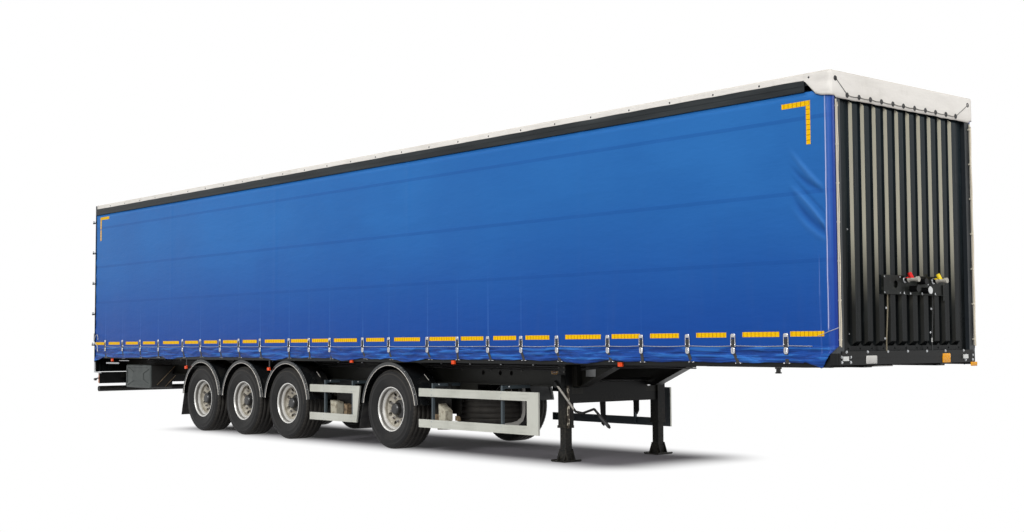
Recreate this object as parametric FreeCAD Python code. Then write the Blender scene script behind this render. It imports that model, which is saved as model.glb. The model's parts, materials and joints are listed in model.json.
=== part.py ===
"""Curtain-sided semi trailer with one forward axle and a rear tri-axle group.

Frame: +X towards the kingpin and the front wall, +Y to the left, +Z up, ground at z = 0.
The origin lies on the ground under the middle of the body. Units are millimetres.
"""
import FreeCAD, Part
import math
import os

V = FreeCAD.Vector
X_AXIS, Y_AXIS, Z_AXIS = V(1, 0, 0), V(0, 1, 0), V(0, 0, 1)

# ---------------------------------------------------------------- driving dimensions
REAR_OVERHANG = 4060.0         # rear face to the last axle
AXLE_PITCH = 1310.0            # between the three rear axles
AXLE_GAP = 2610.0              # first axle to the second
AXLE_TO_LEG = 3020.0           # first axle to the landing legs
LEG_TO_FRONT = 4190.0          # landing legs to the front face
KINGPIN_SETBACK = 1650.0       # kingpin behind the front face
BODY_LENGTH = REAR_OVERHANG + 2 * AXLE_PITCH + AXLE_GAP + AXLE_TO_LEG + LEG_TO_FRONT
BODY_WIDTH = 2550.0
BODY_HEIGHT = 4000.0
FLOOR_TOP = 1280.0
FLOOR_THICK = 30.0
TYRE_RADIUS = 532.0
TYRE_WIDTH = 385.0
RIM_RADIUS = 298.5
TRACK = 2040.0
CLEARANCE = 0.3                # between pieces that are seated but not in one solid

FRONT = BODY_LENGTH / 2
REAR = -BODY_LENGTH / 2
HALF_WIDTH = BODY_WIDTH / 2
WHEEL_Y = TRACK / 2
AXLE_4 = REAR + REAR_OVERHANG
AXLE_1 = AXLE_4 + 2 * AXLE_PITCH + AXLE_GAP
AXLES = (AXLE_1, AXLE_1 - AXLE_GAP, AXLE_4 + AXLE_PITCH, AXLE_4)
LEG_X = AXLE_1 + AXLE_TO_LEG
KINGPIN_X = FRONT - KINGPIN_SETBACK

# ---------------------------------------------------------------- body section
RAIL_DEPTH = 115.0             # side rail, top to bottom
RAIL_WIDTH = 65.0
RAIL_SETBACK = 25.0            # side rail face inside the body width
CURTAIN_GAP = 8.0              # side rail face to curtain
CURTAIN_THICK = 4.0
ROOF_SHEET = 8.0
ROOF_EDGE = 70.0               # pale roof edge above the roof rail
CANTRAIL_HEIGHT = 110.0
CANTRAIL_WIDTH = 95.0
FLOOR_UNDER = FLOOR_TOP - FLOOR_THICK
RAIL_OUT = HALF_WIDTH - RAIL_SETBACK
RAIL_IN = RAIL_OUT - RAIL_WIDTH
RAIL_UNDER = FLOOR_TOP - RAIL_DEPTH
CURTAIN_IN = RAIL_OUT + CURTAIN_GAP
CURTAIN_OUT = CURTAIN_IN + CURTAIN_THICK
SHEET_UNDER = BODY_HEIGHT - ROOF_SHEET
CANTRAIL_TOP = BODY_HEIGHT - ROOF_EDGE
CANTRAIL_BOTTOM = CANTRAIL_TOP - CANTRAIL_HEIGHT

# ---------------------------------------------------------------- main beams
BEAM_SPACING = 1300.0          # between the middles of the two webs
BEAM_BOTTOM = 880.0
NECK_BOTTOM = 1160.0
NECK_KNEE_BOTTOM = 1130.0
NECK_SLOPE = 580.0             # length of the beam's rise into the neck
FLANGE_WIDTH = 140.0
FLANGE_THICK = 14.0
WEB_THICK = 8.0
BEAM_Y = BEAM_SPACING / 2
FLANGE_OUT = BEAM_Y + FLANGE_WIDTH / 2
WEB_OUT = BEAM_Y + WEB_THICK / 2

# ---------------------------------------------------------------- ends of the body
DOOR_THICK = 30.0
DOOR_SEAL = 2.0
PORTAL_DEPTH = 60.0
BOLSTER_DEPTH = 64.0
PORTAL_REAR = REAR + DOOR_THICK + DOOR_SEAL
PORTAL_FRONT = PORTAL_REAR + PORTAL_DEPTH
POST_LAP = 22.0                # posts stay bare this far, then the curtain laps over them
BOLSTER_BACK = FRONT - BOLSTER_DEPTH

# ---------------------------------------------------------------- landing legs
LEG_Y = 800.0
LEG_OUTER = 130.0
LEG_INNER = 98.0
LEG_HEAD = 90.0                # leg top below the floor
LEG_TOP = FLOOR_UNDER - LEG_HEAD
LEG_PLATE = 10.0
NECK_START = LEG_X + 160.0     # the beams' full depth ends ahead of the legs
NECK_KNEE = NECK_START + NECK_SLOPE


# ---------------------------------------------------------------- small shape makers
def box(x0, x1, y0, y1, z0, z1):
    """Box between two corners, given in either order."""
    x0, x1 = sorted((x0, x1))
    y0, y1 = sorted((y0, y1))
    z0, z1 = sorted((z0, z1))
    return Part.makeBox(x1 - x0, y1 - y0, z1 - z0, V(x0, y0, z0))


def outline(points):
    """Flat face inside a closed run of points."""
    return Part.Face(Part.makePolygon(points + [points[0]]))


def plate_xz(points, y0, y1):
    """Outline of (x, z) points, extruded from y0 to y1."""
    return outline([V(x, y0, z) for x, z in points]).extrude(V(0, y1 - y0, 0))


def plate_yz(points, x0, x1):
    """Outline of (y, z) points, extruded from x0 to x1."""
    return outline([V(x0, y, z) for y, z in points]).extrude(V(x1 - x0, 0, 0))


def plate_xy(points, z0, z1):
    """Outline of (x, y) points, extruded from z0 to z1."""
    return outline([V(x, y, z0) for x, y in points]).extrude(V(0, 0, z1 - z0))


def bar(start, end, radius):
    """Round bar between two points."""
    start, end = V(*start), V(*end)
    along = end - start
    return Part.makeCylinder(radius, along.Length, start, along)


def turned(profile, centre):
    """Closed (radius, along) profile turned round the Y axis through a centre."""
    points = [V(centre.x + r, centre.y + a, centre.z) for r, a in profile]
    return outline(points).revolve(centre, Y_AXIS, 360)


def other_side(shape):
    """Mirror image in the plane y = 0."""
    return shape.mirror(V(0, 0, 0), Y_AXIS)


def both_sides(shape):
    return [shape, other_side(shape)]


def joined(shapes):
    """One solid from shapes that meet or overlap."""
    if len(shapes) == 1:
        return shapes[0]
    return shapes[0].multiFuse(shapes[1:]).removeSplitter()


def bent_bar(points, radius, bend):
    """Round bar along runs between points, with arcs of one bend radius at the corners."""
    points = [V(*p) for p in points]
    edges = []
    start = points[0]
    for before, corner, after in zip(points, points[1:], points[2:]):
        into = (corner - before).normalize()
        out = (after - corner).normalize()
        half_turn = into.getAngle(out) / 2
        cut = bend * math.tan(half_turn)
        first = corner - into * cut
        last = corner + out * cut
        inward = (out - into).normalize()
        middle = corner + inward * (bend / math.cos(half_turn) - bend)
        edges.append(Part.LineSegment(start, first).toShape())
        edges.append(Part.Arc(first, middle, last).toShape())
        start = last
    edges.append(Part.LineSegment(start, points[-1]).toShape())
    ring = Part.Wire([Part.Circle(points[0], points[1] - points[0], radius).toShape()])
    return Part.Wire(edges).makePipeShell([ring], True, True)


NODES = {}


def keep(name, shapes):
    """Put the solids of one node aside for writing."""
    solids = []
    for shape in shapes if isinstance(shapes, list) else [shapes]:
        solids.extend(shape.Solids)
    NODES[name] = Part.Compound(solids) if len(solids) > 1 else solids[0]


# ---------------------------------------------------------------- chassis
CROSS_PITCH = 590.0
CROSS_START = 200.0            # first cross member ahead of the portal
CROSS_HEIGHT = 62.0
CROSS_WIDTH = 60.0
CROSS_SHEET = 6.0
CROSS_TIP = 40.0               # depth of a cross member at the side rail
BOLSTER_REACH = 400.0          # cross members end this far behind the front
WEB_HOLES = (1308.0, 1648.0, 1863.0)   # round holes in the webs, ahead of the first axle
WEB_HOLE_Z = 1030.0
WEB_HOLE_RADIUS = 30.0


def cross_stations():
    first = PORTAL_FRONT + CROSS_START
    count = int((FRONT - BOLSTER_REACH - first) // CROSS_PITCH)
    return [first + i * CROSS_PITCH for i in range(count + 1)]


def main_beam():
    """I-beam, deep over the wheels and shallow in the neck, pierced by the cross members."""
    under = [(PORTAL_FRONT, BEAM_BOTTOM), (NECK_START, BEAM_BOTTOM), (NECK_KNEE, NECK_KNEE_BOTTOM),
             (KINGPIN_X - COUPLING_BACK, NECK_BOTTOM), (BOLSTER_BACK, NECK_BOTTOM)]
    side = under + [(BOLSTER_BACK, FLOOR_UNDER), (PORTAL_FRONT, FLOOR_UNDER)]
    web = plate_xz(side, BEAM_Y - WEB_THICK / 2, WEB_OUT)
    lower = under + [(x, z + FLANGE_THICK) for x, z in reversed(under)]
    inner = BEAM_Y - FLANGE_WIDTH / 2
    top = box(PORTAL_FRONT, BOLSTER_BACK, inner, FLANGE_OUT, FLOOR_UNDER - FLANGE_THICK, FLOOR_UNDER)
    pieces = [web, plate_xz(lower, inner, FLANGE_OUT), top]
    leg_face = LEG_Y - LEG_OUTER / 2
    pad_low = BEAM_BOTTOM + FLANGE_THICK
    for x in (LEG_X - LEG_OUTER, LEG_X + LEG_OUTER - LEG_PLATE):
        pieces.append(box(x, x + LEG_PLATE, BEAM_Y, leg_face, pad_low, LEG_TOP))
    pieces.append(box(LEG_X - LEG_OUTER, LEG_X + LEG_OUTER, leg_face - LEG_PLATE, leg_face,
                      pad_low, LEG_TOP))
    beam = joined(pieces)
    shaft = bar((LEG_X, 0, GEARBOX_MIDDLE), (LEG_X, LEG_Y, GEARBOX_MIDDLE), SHAFT_RADIUS + CLEARANCE)
    beam = beam.cut(shaft)
    hole_top = FLOOR_UNDER - FLANGE_THICK
    holes = [box(x - CLEARANCE, x + CROSS_WIDTH + CLEARANCE, BEAM_Y - WEB_THICK, BEAM_Y + WEB_THICK,
                 hole_top - CROSS_HEIGHT - CLEARANCE, hole_top) for x in cross_stations()]
    for lead in WEB_HOLES:
        x = AXLE_1 + lead
        holes.append(bar((x, BEAM_Y - WEB_THICK, WEB_HOLE_Z), (x, BEAM_Y + WEB_THICK, WEB_HOLE_Z),
                         WEB_HOLE_RADIUS))
    return beam.cut(Part.Compound(holes))


def cross_member(x):
    """Channel that passes through both webs and tapers out to the side rails."""
    seat = FLOOR_UNDER - FLANGE_THICK
    low = seat - CROSS_HEIGHT
    inner = BEAM_Y - FLANGE_WIDTH / 2
    tip = FLOOR_UNDER - CROSS_TIP
    over = [(RAIL_IN, FLOOR_UNDER), (FLANGE_OUT, FLOOR_UNDER), (FLANGE_OUT, seat), (inner, seat),
            (inner, FLOOR_UNDER)]
    top = [(-y, z) for y, z in over] + list(reversed(over))
    web = plate_yz([(-RAIL_IN, tip), (-WEB_OUT, low), (WEB_OUT, low), (RAIL_IN, tip)]
                   + list(reversed(top)), x, x + CROSS_SHEET)
    foot = box(x, x + CROSS_WIDTH, -WEB_OUT, WEB_OUT, low, low + CROSS_SHEET)
    heads = [box(x, x + CROSS_WIDTH, -inner, inner, FLOOR_UNDER - CROSS_SHEET, FLOOR_UNDER)]
    heads += both_sides(box(x, x + CROSS_WIDTH, FLANGE_OUT, RAIL_IN, FLOOR_UNDER - CROSS_SHEET,
                            FLOOR_UNDER))
    return joined([web, foot] + heads)


def chassis():
    keep("main_beams", both_sides(main_beam()))
    keep("cross_members", [cross_member(x) for x in cross_stations()])
    web = box(PORTAL_FRONT, BOLSTER_BACK, RAIL_OUT - CROSS_SHEET, RAIL_OUT, RAIL_UNDER, FLOOR_TOP)
    head = box(PORTAL_FRONT, BOLSTER_BACK, RAIL_IN, RAIL_OUT, FLOOR_UNDER, FLOOR_TOP)
    foot = box(PORTAL_FRONT, BOLSTER_BACK, RAIL_OUT - 45.0, RAIL_OUT, RAIL_UNDER,
               RAIL_UNDER + CROSS_SHEET)
    hook = box(PORTAL_FRONT, BOLSTER_BACK, RAIL_IN, RAIL_IN + CROSS_SHEET,
               FLOOR_UNDER - CROSS_TIP, FLOOR_TOP)
    keep("side_rails", both_sides(joined([web, head, foot, hook])))
    keep("load_floor", box(PORTAL_FRONT, BOLSTER_BACK, -RAIL_IN, RAIL_IN, FLOOR_UNDER, FLOOR_TOP))


# ---------------------------------------------------------------- coupling
COUPLING_THICK = 10.0
COUPLING_BACK = 400.0
COUPLING_FORWARD = 1100.0
COUPLING_NOSE = 200.0
KINGPIN_RADIUS = 25.4
KINGPIN_LENGTH = 84.0
KINGPIN_SHOULDER = 36.5
KINGPIN_UPPER = 35.0
KINGPIN_RELIEF = 3.0           # undercut between the shoulder and the plate
KINGPIN_FLANGE = 42.0
KINGPIN_FOOT_RADIUS = 35.5
KINGPIN_FOOT = 14.0


def coupling():
    """Rubbing plate under the neck, and the kingpin that the tractor's coupling locks on."""
    under = NECK_BOTTOM - COUPLING_THICK
    back, nose = KINGPIN_X - COUPLING_BACK, KINGPIN_X + COUPLING_FORWARD
    half = FLANGE_OUT
    plate = plate_xy([(back, -half), (nose - COUPLING_NOSE, -half), (nose, -half + COUPLING_NOSE),
                      (nose, half - COUPLING_NOSE), (nose - COUPLING_NOSE, half), (back, half)],
                     under, NECK_BOTTOM)
    hole = Part.makeCylinder(KINGPIN_FLANGE + CLEARANCE, COUPLING_THICK, V(KINGPIN_X, 0, under))
    keep("coupling_plate", plate.cut(hole))
    pin_low = under - KINGPIN_LENGTH
    flange = Part.makeCylinder(KINGPIN_FLANGE, COUPLING_THICK, V(KINGPIN_X, 0, under))
    shoulder = Part.makeCylinder(KINGPIN_SHOULDER, KINGPIN_UPPER - KINGPIN_RELIEF,
                                 V(KINGPIN_X, 0, under - KINGPIN_UPPER))
    waist = Part.makeCylinder(KINGPIN_FOOT_RADIUS - 2.0, KINGPIN_RELIEF, V(KINGPIN_X, 0, under - KINGPIN_RELIEF))
    neck = Part.makeCylinder(KINGPIN_RADIUS, KINGPIN_LENGTH, V(KINGPIN_X, 0, pin_low))
    foot = Part.makeCylinder(KINGPIN_FOOT_RADIUS, KINGPIN_FOOT, V(KINGPIN_X, 0, pin_low))
    keep("kingpin", joined([flange, waist, shoulder, neck, foot]))


# ---------------------------------------------------------------- front wall
RIB_PITCH = 196.0
RIB_COUNT = 10
RIB_FACE = 83.0                # flat front of a rib
RIB_SLOPE = 22.0               # each flank, seen from the front
RIB_HEIGHT = 50.0
RIB_END = 45.0                 # slope of a rib's top and foot
RIB_FOOT_GAP = 70.0            # ribs start above the bolster
RIB_SHEET = 4.0
WALL_THICK = 14.0
CORNER_RADIUS = 62.0           # curtain's bend round the corner post
POST_WIDTH = 150.0
POST_DEPTH = 118.0
POST_WALL = 5.0
BOLSTER_HEIGHT = 112.0
BOLSTER_RISE = 20.0            # bolster top above the floor
BOLSTER_TOP = FLOOR_TOP + BOLSTER_RISE
BOLSTER_BOTTOM = BOLSTER_TOP - BOLSTER_HEIGHT
WALL_FACE = FRONT - RIB_HEIGHT
WALL_BACK = WALL_FACE - WALL_THICK
POST_CENTRE_X = FRONT - CORNER_RADIUS
POST_CENTRE_Y = CURTAIN_OUT - CORNER_RADIUS
POST_RADIUS = CORNER_RADIUS - CURTAIN_THICK - CLEARANCE
POST_IN = CURTAIN_OUT - POST_WIDTH
FLAP_DROP = 250.0              # front flap below the roof
FLAP_THICK = 6.0
FLAP_BOTTOM = BODY_HEIGHT - FLAP_DROP
ROD_RADIUS = 8.0
ROD_STANDOFF = 3.0
ROD_CLIPS = 7


def rib(y, inset):
    """Pressed rib with sloping flanks and ends; inset shrinks it to the hollow inside."""
    front = FRONT - inset
    half_face = RIB_FACE / 2 - inset * 0.6
    half_foot = half_face + RIB_SLOPE
    low, high = BOLSTER_TOP + RIB_FOOT_GAP + inset, FLAP_BOTTOM - inset
    root = WALL_FACE - inset
    section = plate_xy([(root, y - half_foot), (front, y - half_face), (front, y + half_face),
                        (root, y + half_foot)], low, high)
    side = plate_xz([(root, low), (front, low + RIB_END), (front, high - RIB_END), (root, high)],
                    y - half_foot, y + half_foot)
    return section.common(side)


def post_section(radius, wall):
    """Corner post outline: a flat box that ends in a round nose under the curtain."""
    nose = Part.makeCylinder(radius, BODY_HEIGHT, V(POST_CENTRE_X, POST_CENTRE_Y, 0))
    body = box(FRONT - POST_DEPTH + wall, POST_CENTRE_X + radius, POST_IN + wall, POST_CENTRE_Y,
               0, BODY_HEIGHT)
    tail = box(FRONT - POST_DEPTH + wall, POST_CENTRE_X, POST_CENTRE_Y, POST_CENTRE_Y + radius,
               0, BODY_HEIGHT)
    return joined([nose, body, tail])


def front_end():
    """Panel wall with pressed upright ribs between two corner posts, on a bolster beam."""
    panel = box(WALL_BACK, WALL_FACE, -POST_IN, POST_IN, BOLSTER_TOP, CANTRAIL_TOP)
    places = [(i - (RIB_COUNT - 1) / 2) * RIB_PITCH for i in range(RIB_COUNT)]
    wall = joined([panel] + [rib(y, 0.0) for y in places])
    hollows = [rib(y, RIB_SHEET) for y in places]
    keep("front_wall", wall.cut(Part.Compound(hollows)))

    post = post_section(POST_RADIUS, 0.0).cut(post_section(POST_RADIUS - POST_WALL, POST_WALL))
    span = box(FRONT - POST_DEPTH - 1.0, FRONT, 0, HALF_WIDTH, BOLSTER_TOP, CANTRAIL_BOTTOM)
    post = post.common(span)
    rod_x = POST_CENTRE_X + POST_RADIUS + ROD_RADIUS + ROD_STANDOFF
    rod_y = POST_CENTRE_Y - ROD_RADIUS
    low, high = BOLSTER_TOP + RIB_FOOT_GAP, FLAP_BOTTOM - 30.0
    pieces = [post, bar((rod_x, rod_y, low), (rod_x, rod_y, high), ROD_RADIUS)]
    for i in range(ROD_CLIPS):
        z = low + 60.0 + i * (high - low - 120.0) / (ROD_CLIPS - 1)
        pieces.append(box(rod_x - 2 * ROD_RADIUS, rod_x + ROD_RADIUS + 3.0, rod_y - ROD_RADIUS - 12.0,
                          rod_y + ROD_RADIUS - 1.0, z - 8.0, z + 8.0))
    keep("front_posts", both_sides(joined(pieces)))

    beam = box(BOLSTER_BACK, FRONT, -POST_CENTRE_Y, POST_CENTRE_Y, BOLSTER_BOTTOM, BOLSTER_TOP)
    ends = box(BOLSTER_BACK, POST_CENTRE_X, POST_CENTRE_Y, CURTAIN_IN, BOLSTER_BOTTOM, BOLSTER_TOP)
    round_end = Part.makeCylinder(POST_RADIUS, BOLSTER_HEIGHT,
                                  V(POST_CENTRE_X, POST_CENTRE_Y, BOLSTER_BOTTOM))
    round_end = round_end.common(box(BOLSTER_BACK, FRONT, 0, HALF_WIDTH, BOLSTER_BOTTOM, BOLSTER_TOP))
    lip = box(FRONT, FRONT + 4.0, -POST_CENTRE_Y + 40.0, POST_CENTRE_Y - 40.0,
              BOLSTER_TOP - 45.0, BOLSTER_TOP + 20.0)
    keep("front_bolster", joined([beam, lip] + both_sides(ends) + both_sides(round_end)))


# ---------------------------------------------------------------- service panel and lines
PANEL_LEFT = 620.0
PANEL_RIGHT = -492.0
PANEL_LOW = 1876.0
PANEL_HIGH = 2065.0
PANEL_SHEET = 5.0
PANEL_HOOD = 30.0
PANEL_SPLIT = -198.0           # plain cheek plate to the right of this
STAY_WIDTH = 30.0
STAY_LENGTH = 160.0
STAY_UNDER = 50.0              # stay below the panel's foot
HOLE_RADIUS = 38.0
HEAD_RADIUS = 19.0
HEAD_COLLAR = 27.0
HEAD_START = 30.0              # coupling head's rear end, ahead of the wall
HEAD_LENGTH = 138.0
KNOB_RADIUS = 21.0
KNOB_REACH = (95.0, 62.0, 64.0)        # foot ahead of the wall, top ahead of the wall, rise
# y, height: the two air coupling heads
AIR_HEADS = ((-90.0, 2026.0), (425.0, 2026.0))
# y, height, radius: the electric sockets
SOCKETS = ((20.0, 1937.0, 32.0), (167.0, 2012.0, 30.0), (240.0, 1923.0, 32.0))
SOCKET_LENGTH = 80.0
SOCKET_CAP = 8.0
SOCKET_RIM = 3.0
LINE_RADIUS = 7.0
LINE_BEND = 120.0
# y at the top, y at the bottom: lines clipped down the wall
LINES = ((-400.0, -430.0), (402.0, 376.0))


def service_panel():
    """Hooded plate on the wall with the coupling heads and sockets, and the lines below it."""
    plate = box(FRONT, FRONT + PANEL_SHEET, PANEL_RIGHT, PANEL_LEFT, PANEL_LOW, PANEL_HIGH)
    hood = box(FRONT, FRONT + PANEL_HOOD, PANEL_SPLIT, PANEL_LEFT, PANEL_HIGH - PANEL_SHEET, PANEL_HIGH)
    tray = box(FRONT, FRONT + PANEL_HOOD, PANEL_SPLIT, PANEL_LEFT, PANEL_LOW, PANEL_LOW + PANEL_SHEET)
    cheek = plate_xz([(FRONT, PANEL_LOW), (FRONT + PANEL_HOOD, PANEL_LOW), (FRONT + PANEL_HOOD, PANEL_HIGH),
                      (FRONT, PANEL_HIGH)], PANEL_SPLIT, PANEL_SPLIT + PANEL_SHEET)
    cover = box(FRONT, FRONT + PANEL_HOOD, PANEL_RIGHT, PANEL_SPLIT, PANEL_LOW, PANEL_HIGH)
    cover = cover.cut(box(FRONT, FRONT + PANEL_HOOD - PANEL_SHEET, PANEL_RIGHT + PANEL_SHEET,
                          PANEL_SPLIT - PANEL_SHEET, PANEL_LOW - 1.0, PANEL_HIGH - PANEL_SHEET))
    hole_y = (PANEL_RIGHT + PANEL_SPLIT) / 2 + HOLE_RADIUS * 1.5
    hole_z = (PANEL_LOW + PANEL_HIGH) / 2 + PANEL_SHEET
    cover = cover.cut(bar((FRONT + PANEL_HOOD - 2 * PANEL_SHEET, hole_y, hole_z),
                          (FRONT + PANEL_HOOD + 1.0, hole_y, hole_z), HOLE_RADIUS))
    low = PANEL_LOW - STAY_UNDER
    stay = box(FRONT, FRONT + PANEL_SHEET * 3, PANEL_LEFT - STAY_WIDTH, PANEL_LEFT, low, low + STAY_LENGTH)
    keep("service_panel", joined([plate, hood, tray, cheek, cover, stay]))
    heads = []
    for y, z in AIR_HEADS:
        start, end = FRONT + HEAD_START, FRONT + HEAD_START + HEAD_LENGTH
        pieces = [bar((FRONT + PANEL_SHEET, y, z), (end, y, z), HEAD_RADIUS)]
        for x in (start, end - HEAD_COLLAR):
            pieces.append(bar((x, y, z), (x + HEAD_COLLAR, y, z), HEAD_COLLAR))
        foot, top, rise = KNOB_REACH
        pieces.append(bar((FRONT + foot, y, z), (FRONT + top, y, z + rise), KNOB_RADIUS))
        gap = box(FRONT, FRONT + PANEL_HOOD + 1.0, y - 2 * HEAD_COLLAR, y + 2 * HEAD_COLLAR,
                  PANEL_HIGH - PANEL_SHEET - 1.0, PANEL_HIGH + 1.0)
        heads.append(joined(pieces).cut(gap))
    face = FRONT + PANEL_SHEET
    for y, z, radius in SOCKETS:
        shell = bar((face, y, z), (face + SOCKET_LENGTH, y, z), radius)
        cap = bar((face + SOCKET_LENGTH, y, z), (face + SOCKET_LENGTH + SOCKET_CAP, y, z), radius + SOCKET_RIM)
        hinge = box(face + SOCKET_LENGTH - SOCKET_CAP, face + SOCKET_LENGTH + SOCKET_CAP - 3.0,
                    y - radius / 3, y + radius / 3, z + radius - SOCKET_CAP, z + radius + SOCKET_CAP)
        heads.append(joined([shell, cap, hinge]))
    keep("coupling_heads", [solid for head in heads for solid in head.Solids])
    lines = []
    x = FRONT + LINE_RADIUS + CLEARANCE
    for top_y, foot_y in LINES:
        drop = (PANEL_LOW - BOLSTER_TOP - 20.0) / 4
        run = [(x, top_y, PANEL_LOW), (x, top_y, PANEL_LOW - drop),
               (x, (top_y + foot_y) / 2, PANEL_LOW - 2.2 * drop),
               (x, foot_y, PANEL_LOW - 3.2 * drop), (x, foot_y, BOLSTER_TOP + 20.0)]
        lines.append(bent_bar(run, LINE_RADIUS, LINE_BEND))
    keep("service_lines", lines)


# ---------------------------------------------------------------- roof
BOW_PITCH = 610.0
BOW_START = 120.0
BOW_HEIGHT = 40.0
BOW_WIDTH = 30.0
BOW_LINK_Y = 600.0
POCKET_TOP = 296.0             # the front flap's corner pocket, behind the front face
POCKET_LOW = 145.0
RAIL_LIP = 60.0


def roof():
    """Roof rails, bows with their links, and the tarpaulin skin with its front flap."""
    inner_front = FRONT - POST_DEPTH
    lip_front = FRONT - POCKET_TOP
    bow_under = SHEET_UNDER - BOW_HEIGHT
    core = [(CANTRAIL_IN, CANTRAIL_BOTTOM + RAIL_LIP), (CURTAIN_IN - CLEARANCE, CANTRAIL_BOTTOM + RAIL_LIP),
            (CURTAIN_IN - CLEARANCE, bow_under), (CANTRAIL_IN, bow_under)]
    shell = [(CURTAIN_IN - CLEARANCE, CANTRAIL_BOTTOM + RAIL_LIP), (CURTAIN_OUT, CANTRAIL_BOTTOM + RAIL_LIP),
             (CURTAIN_OUT + 1.0, CANTRAIL_BOTTOM), (HALF_WIDTH, CANTRAIL_BOTTOM),
             (HALF_WIDTH, CANTRAIL_TOP), (CURTAIN_IN - CLEARANCE, CANTRAIL_TOP)]
    rail = joined([plate_yz(core, PORTAL_FRONT, inner_front), plate_yz(shell, PORTAL_FRONT, lip_front)])
    groove = box(PORTAL_FRONT, lip_front, HALF_WIDTH - 3.0, HALF_WIDTH, CANTRAIL_BOTTOM + 48.0,
                 CANTRAIL_BOTTOM + 58.0)
    keep("roof_rails", both_sides(rail.cut(groove)))
    bows = []
    count = int((inner_front - BOW_START - PORTAL_FRONT - BOW_WIDTH) // BOW_PITCH)
    for i in range(count + 1):
        x = PORTAL_FRONT + BOW_START + i * BOW_PITCH
        bows.append(box(x, x + BOW_WIDTH, -CURTAIN_IN, CURTAIN_IN, bow_under, SHEET_UNDER))
    for y in (-BOW_LINK_Y, BOW_LINK_Y):
        bows.append(box(PORTAL_FRONT + BOW_START, PORTAL_FRONT + BOW_START + count * BOW_PITCH,
                        y - 4.0, y + 4.0, SHEET_UNDER - BOW_HEIGHT / 2, SHEET_UNDER))
    keep("roof_bows", joined(bows))
    nose = FRONT + FLAP_THICK
    top = box(PORTAL_FRONT, nose, -HALF_WIDTH, HALF_WIDTH, SHEET_UNDER, BODY_HEIGHT)
    flap = box(FRONT, nose, -HALF_WIDTH, HALF_WIDTH, FLAP_BOTTOM, SHEET_UNDER)
    edge = box(PORTAL_FRONT, nose, HALF_WIDTH - FLAP_THICK, HALF_WIDTH, CANTRAIL_TOP, SHEET_UNDER)
    pocket = plate_xz([(lip_front, CANTRAIL_TOP), (FRONT - POCKET_LOW, FLAP_BOTTOM + 8.0),
                       (nose, FLAP_BOTTOM), (nose, CANTRAIL_TOP)], HALF_WIDTH - FLAP_THICK, HALF_WIDTH)
    tarp = joined([top, flap] + both_sides(edge) + both_sides(pocket))
    upright = [e for e in tarp.Edges if abs(e.BoundBox.XMin - nose) < 0.01 and e.BoundBox.YLength < 0.01
               and abs(abs(e.BoundBox.YMin) - HALF_WIDTH) < 0.01]
    keep("roof_tarp", tarp.makeFillet(FLAP_THICK * 0.9, upright) if upright else tarp)


CANTRAIL_IN = HALF_WIDTH - CANTRAIL_WIDTH

# ---------------------------------------------------------------- side curtains
HEM_FRONT = 1215.0
HEM_REAR = 1110.0
HEM_LEVEL = 600.0              # the hem starts to fall this far ahead of the rear face
CURTAIN_REAR = PORTAL_REAR + POST_LAP + 3.0
HEM_DROP = REAR + HEM_LEVEL
STRAP_WIDTH = 45.0
STRAP_THICK = 3.0
STRAP_LEAN = 50.0
STRAP_HOOK = 25.0              # strap below the hem
BUCKLE_LOW = 91.0              # buckle above the level hem
BUCKLE_HIGH = 187.0
BUCKLE_WIDTH = 50.0
BUCKLE_THICK = 8.0
LEVER_THICK = 16.0
# distances of the buckles behind the front of the body
BUCKLES = (570, 1230, 1840, 2500, 3010, 3840, 4470, 5080, 5680, 6300, 7150, 7760, 8580, 9120, 9660,
           10490, 11140, 11740, 12390, 13010, 13890, 14590, 15290, 16010)
# distances of the sliding pillars behind the front of the body
PILLARS = (3420, 6720, 10070, 13450)
PILLAR_WIDTH = 100.0
PILLAR_DEPTH = 55.0
PILLAR_WALL = 4.0
PILLAR_GAP = 3.0


def hem_height(x):
    """Lower edge of the curtain, level at the front and falling towards the rear."""
    if x > HEM_DROP:
        return HEM_FRONT
    share = (HEM_DROP - x) / (HEM_DROP - CURTAIN_REAR)
    return HEM_FRONT + share * (HEM_REAR - HEM_FRONT)


def curtain():
    """Left curtain: a flat sheet whose front edge bends round the corner post."""
    top = CANTRAIL_BOTTOM - CLEARANCE
    side = plate_xz([(CURTAIN_REAR, HEM_REAR), (HEM_DROP, HEM_FRONT), (POST_CENTRE_X, HEM_FRONT),
                     (POST_CENTRE_X, top), (CURTAIN_REAR, top)], CURTAIN_IN, CURTAIN_OUT)
    height = top - HEM_FRONT
    foot = V(POST_CENTRE_X, POST_CENTRE_Y, HEM_FRONT)
    bend = Part.makeCylinder(CORNER_RADIUS, height, foot, Z_AXIS, 90)
    bend = bend.cut(Part.makeCylinder(CORNER_RADIUS - CURTAIN_THICK, height, foot))
    return joined([side, bend])


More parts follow.
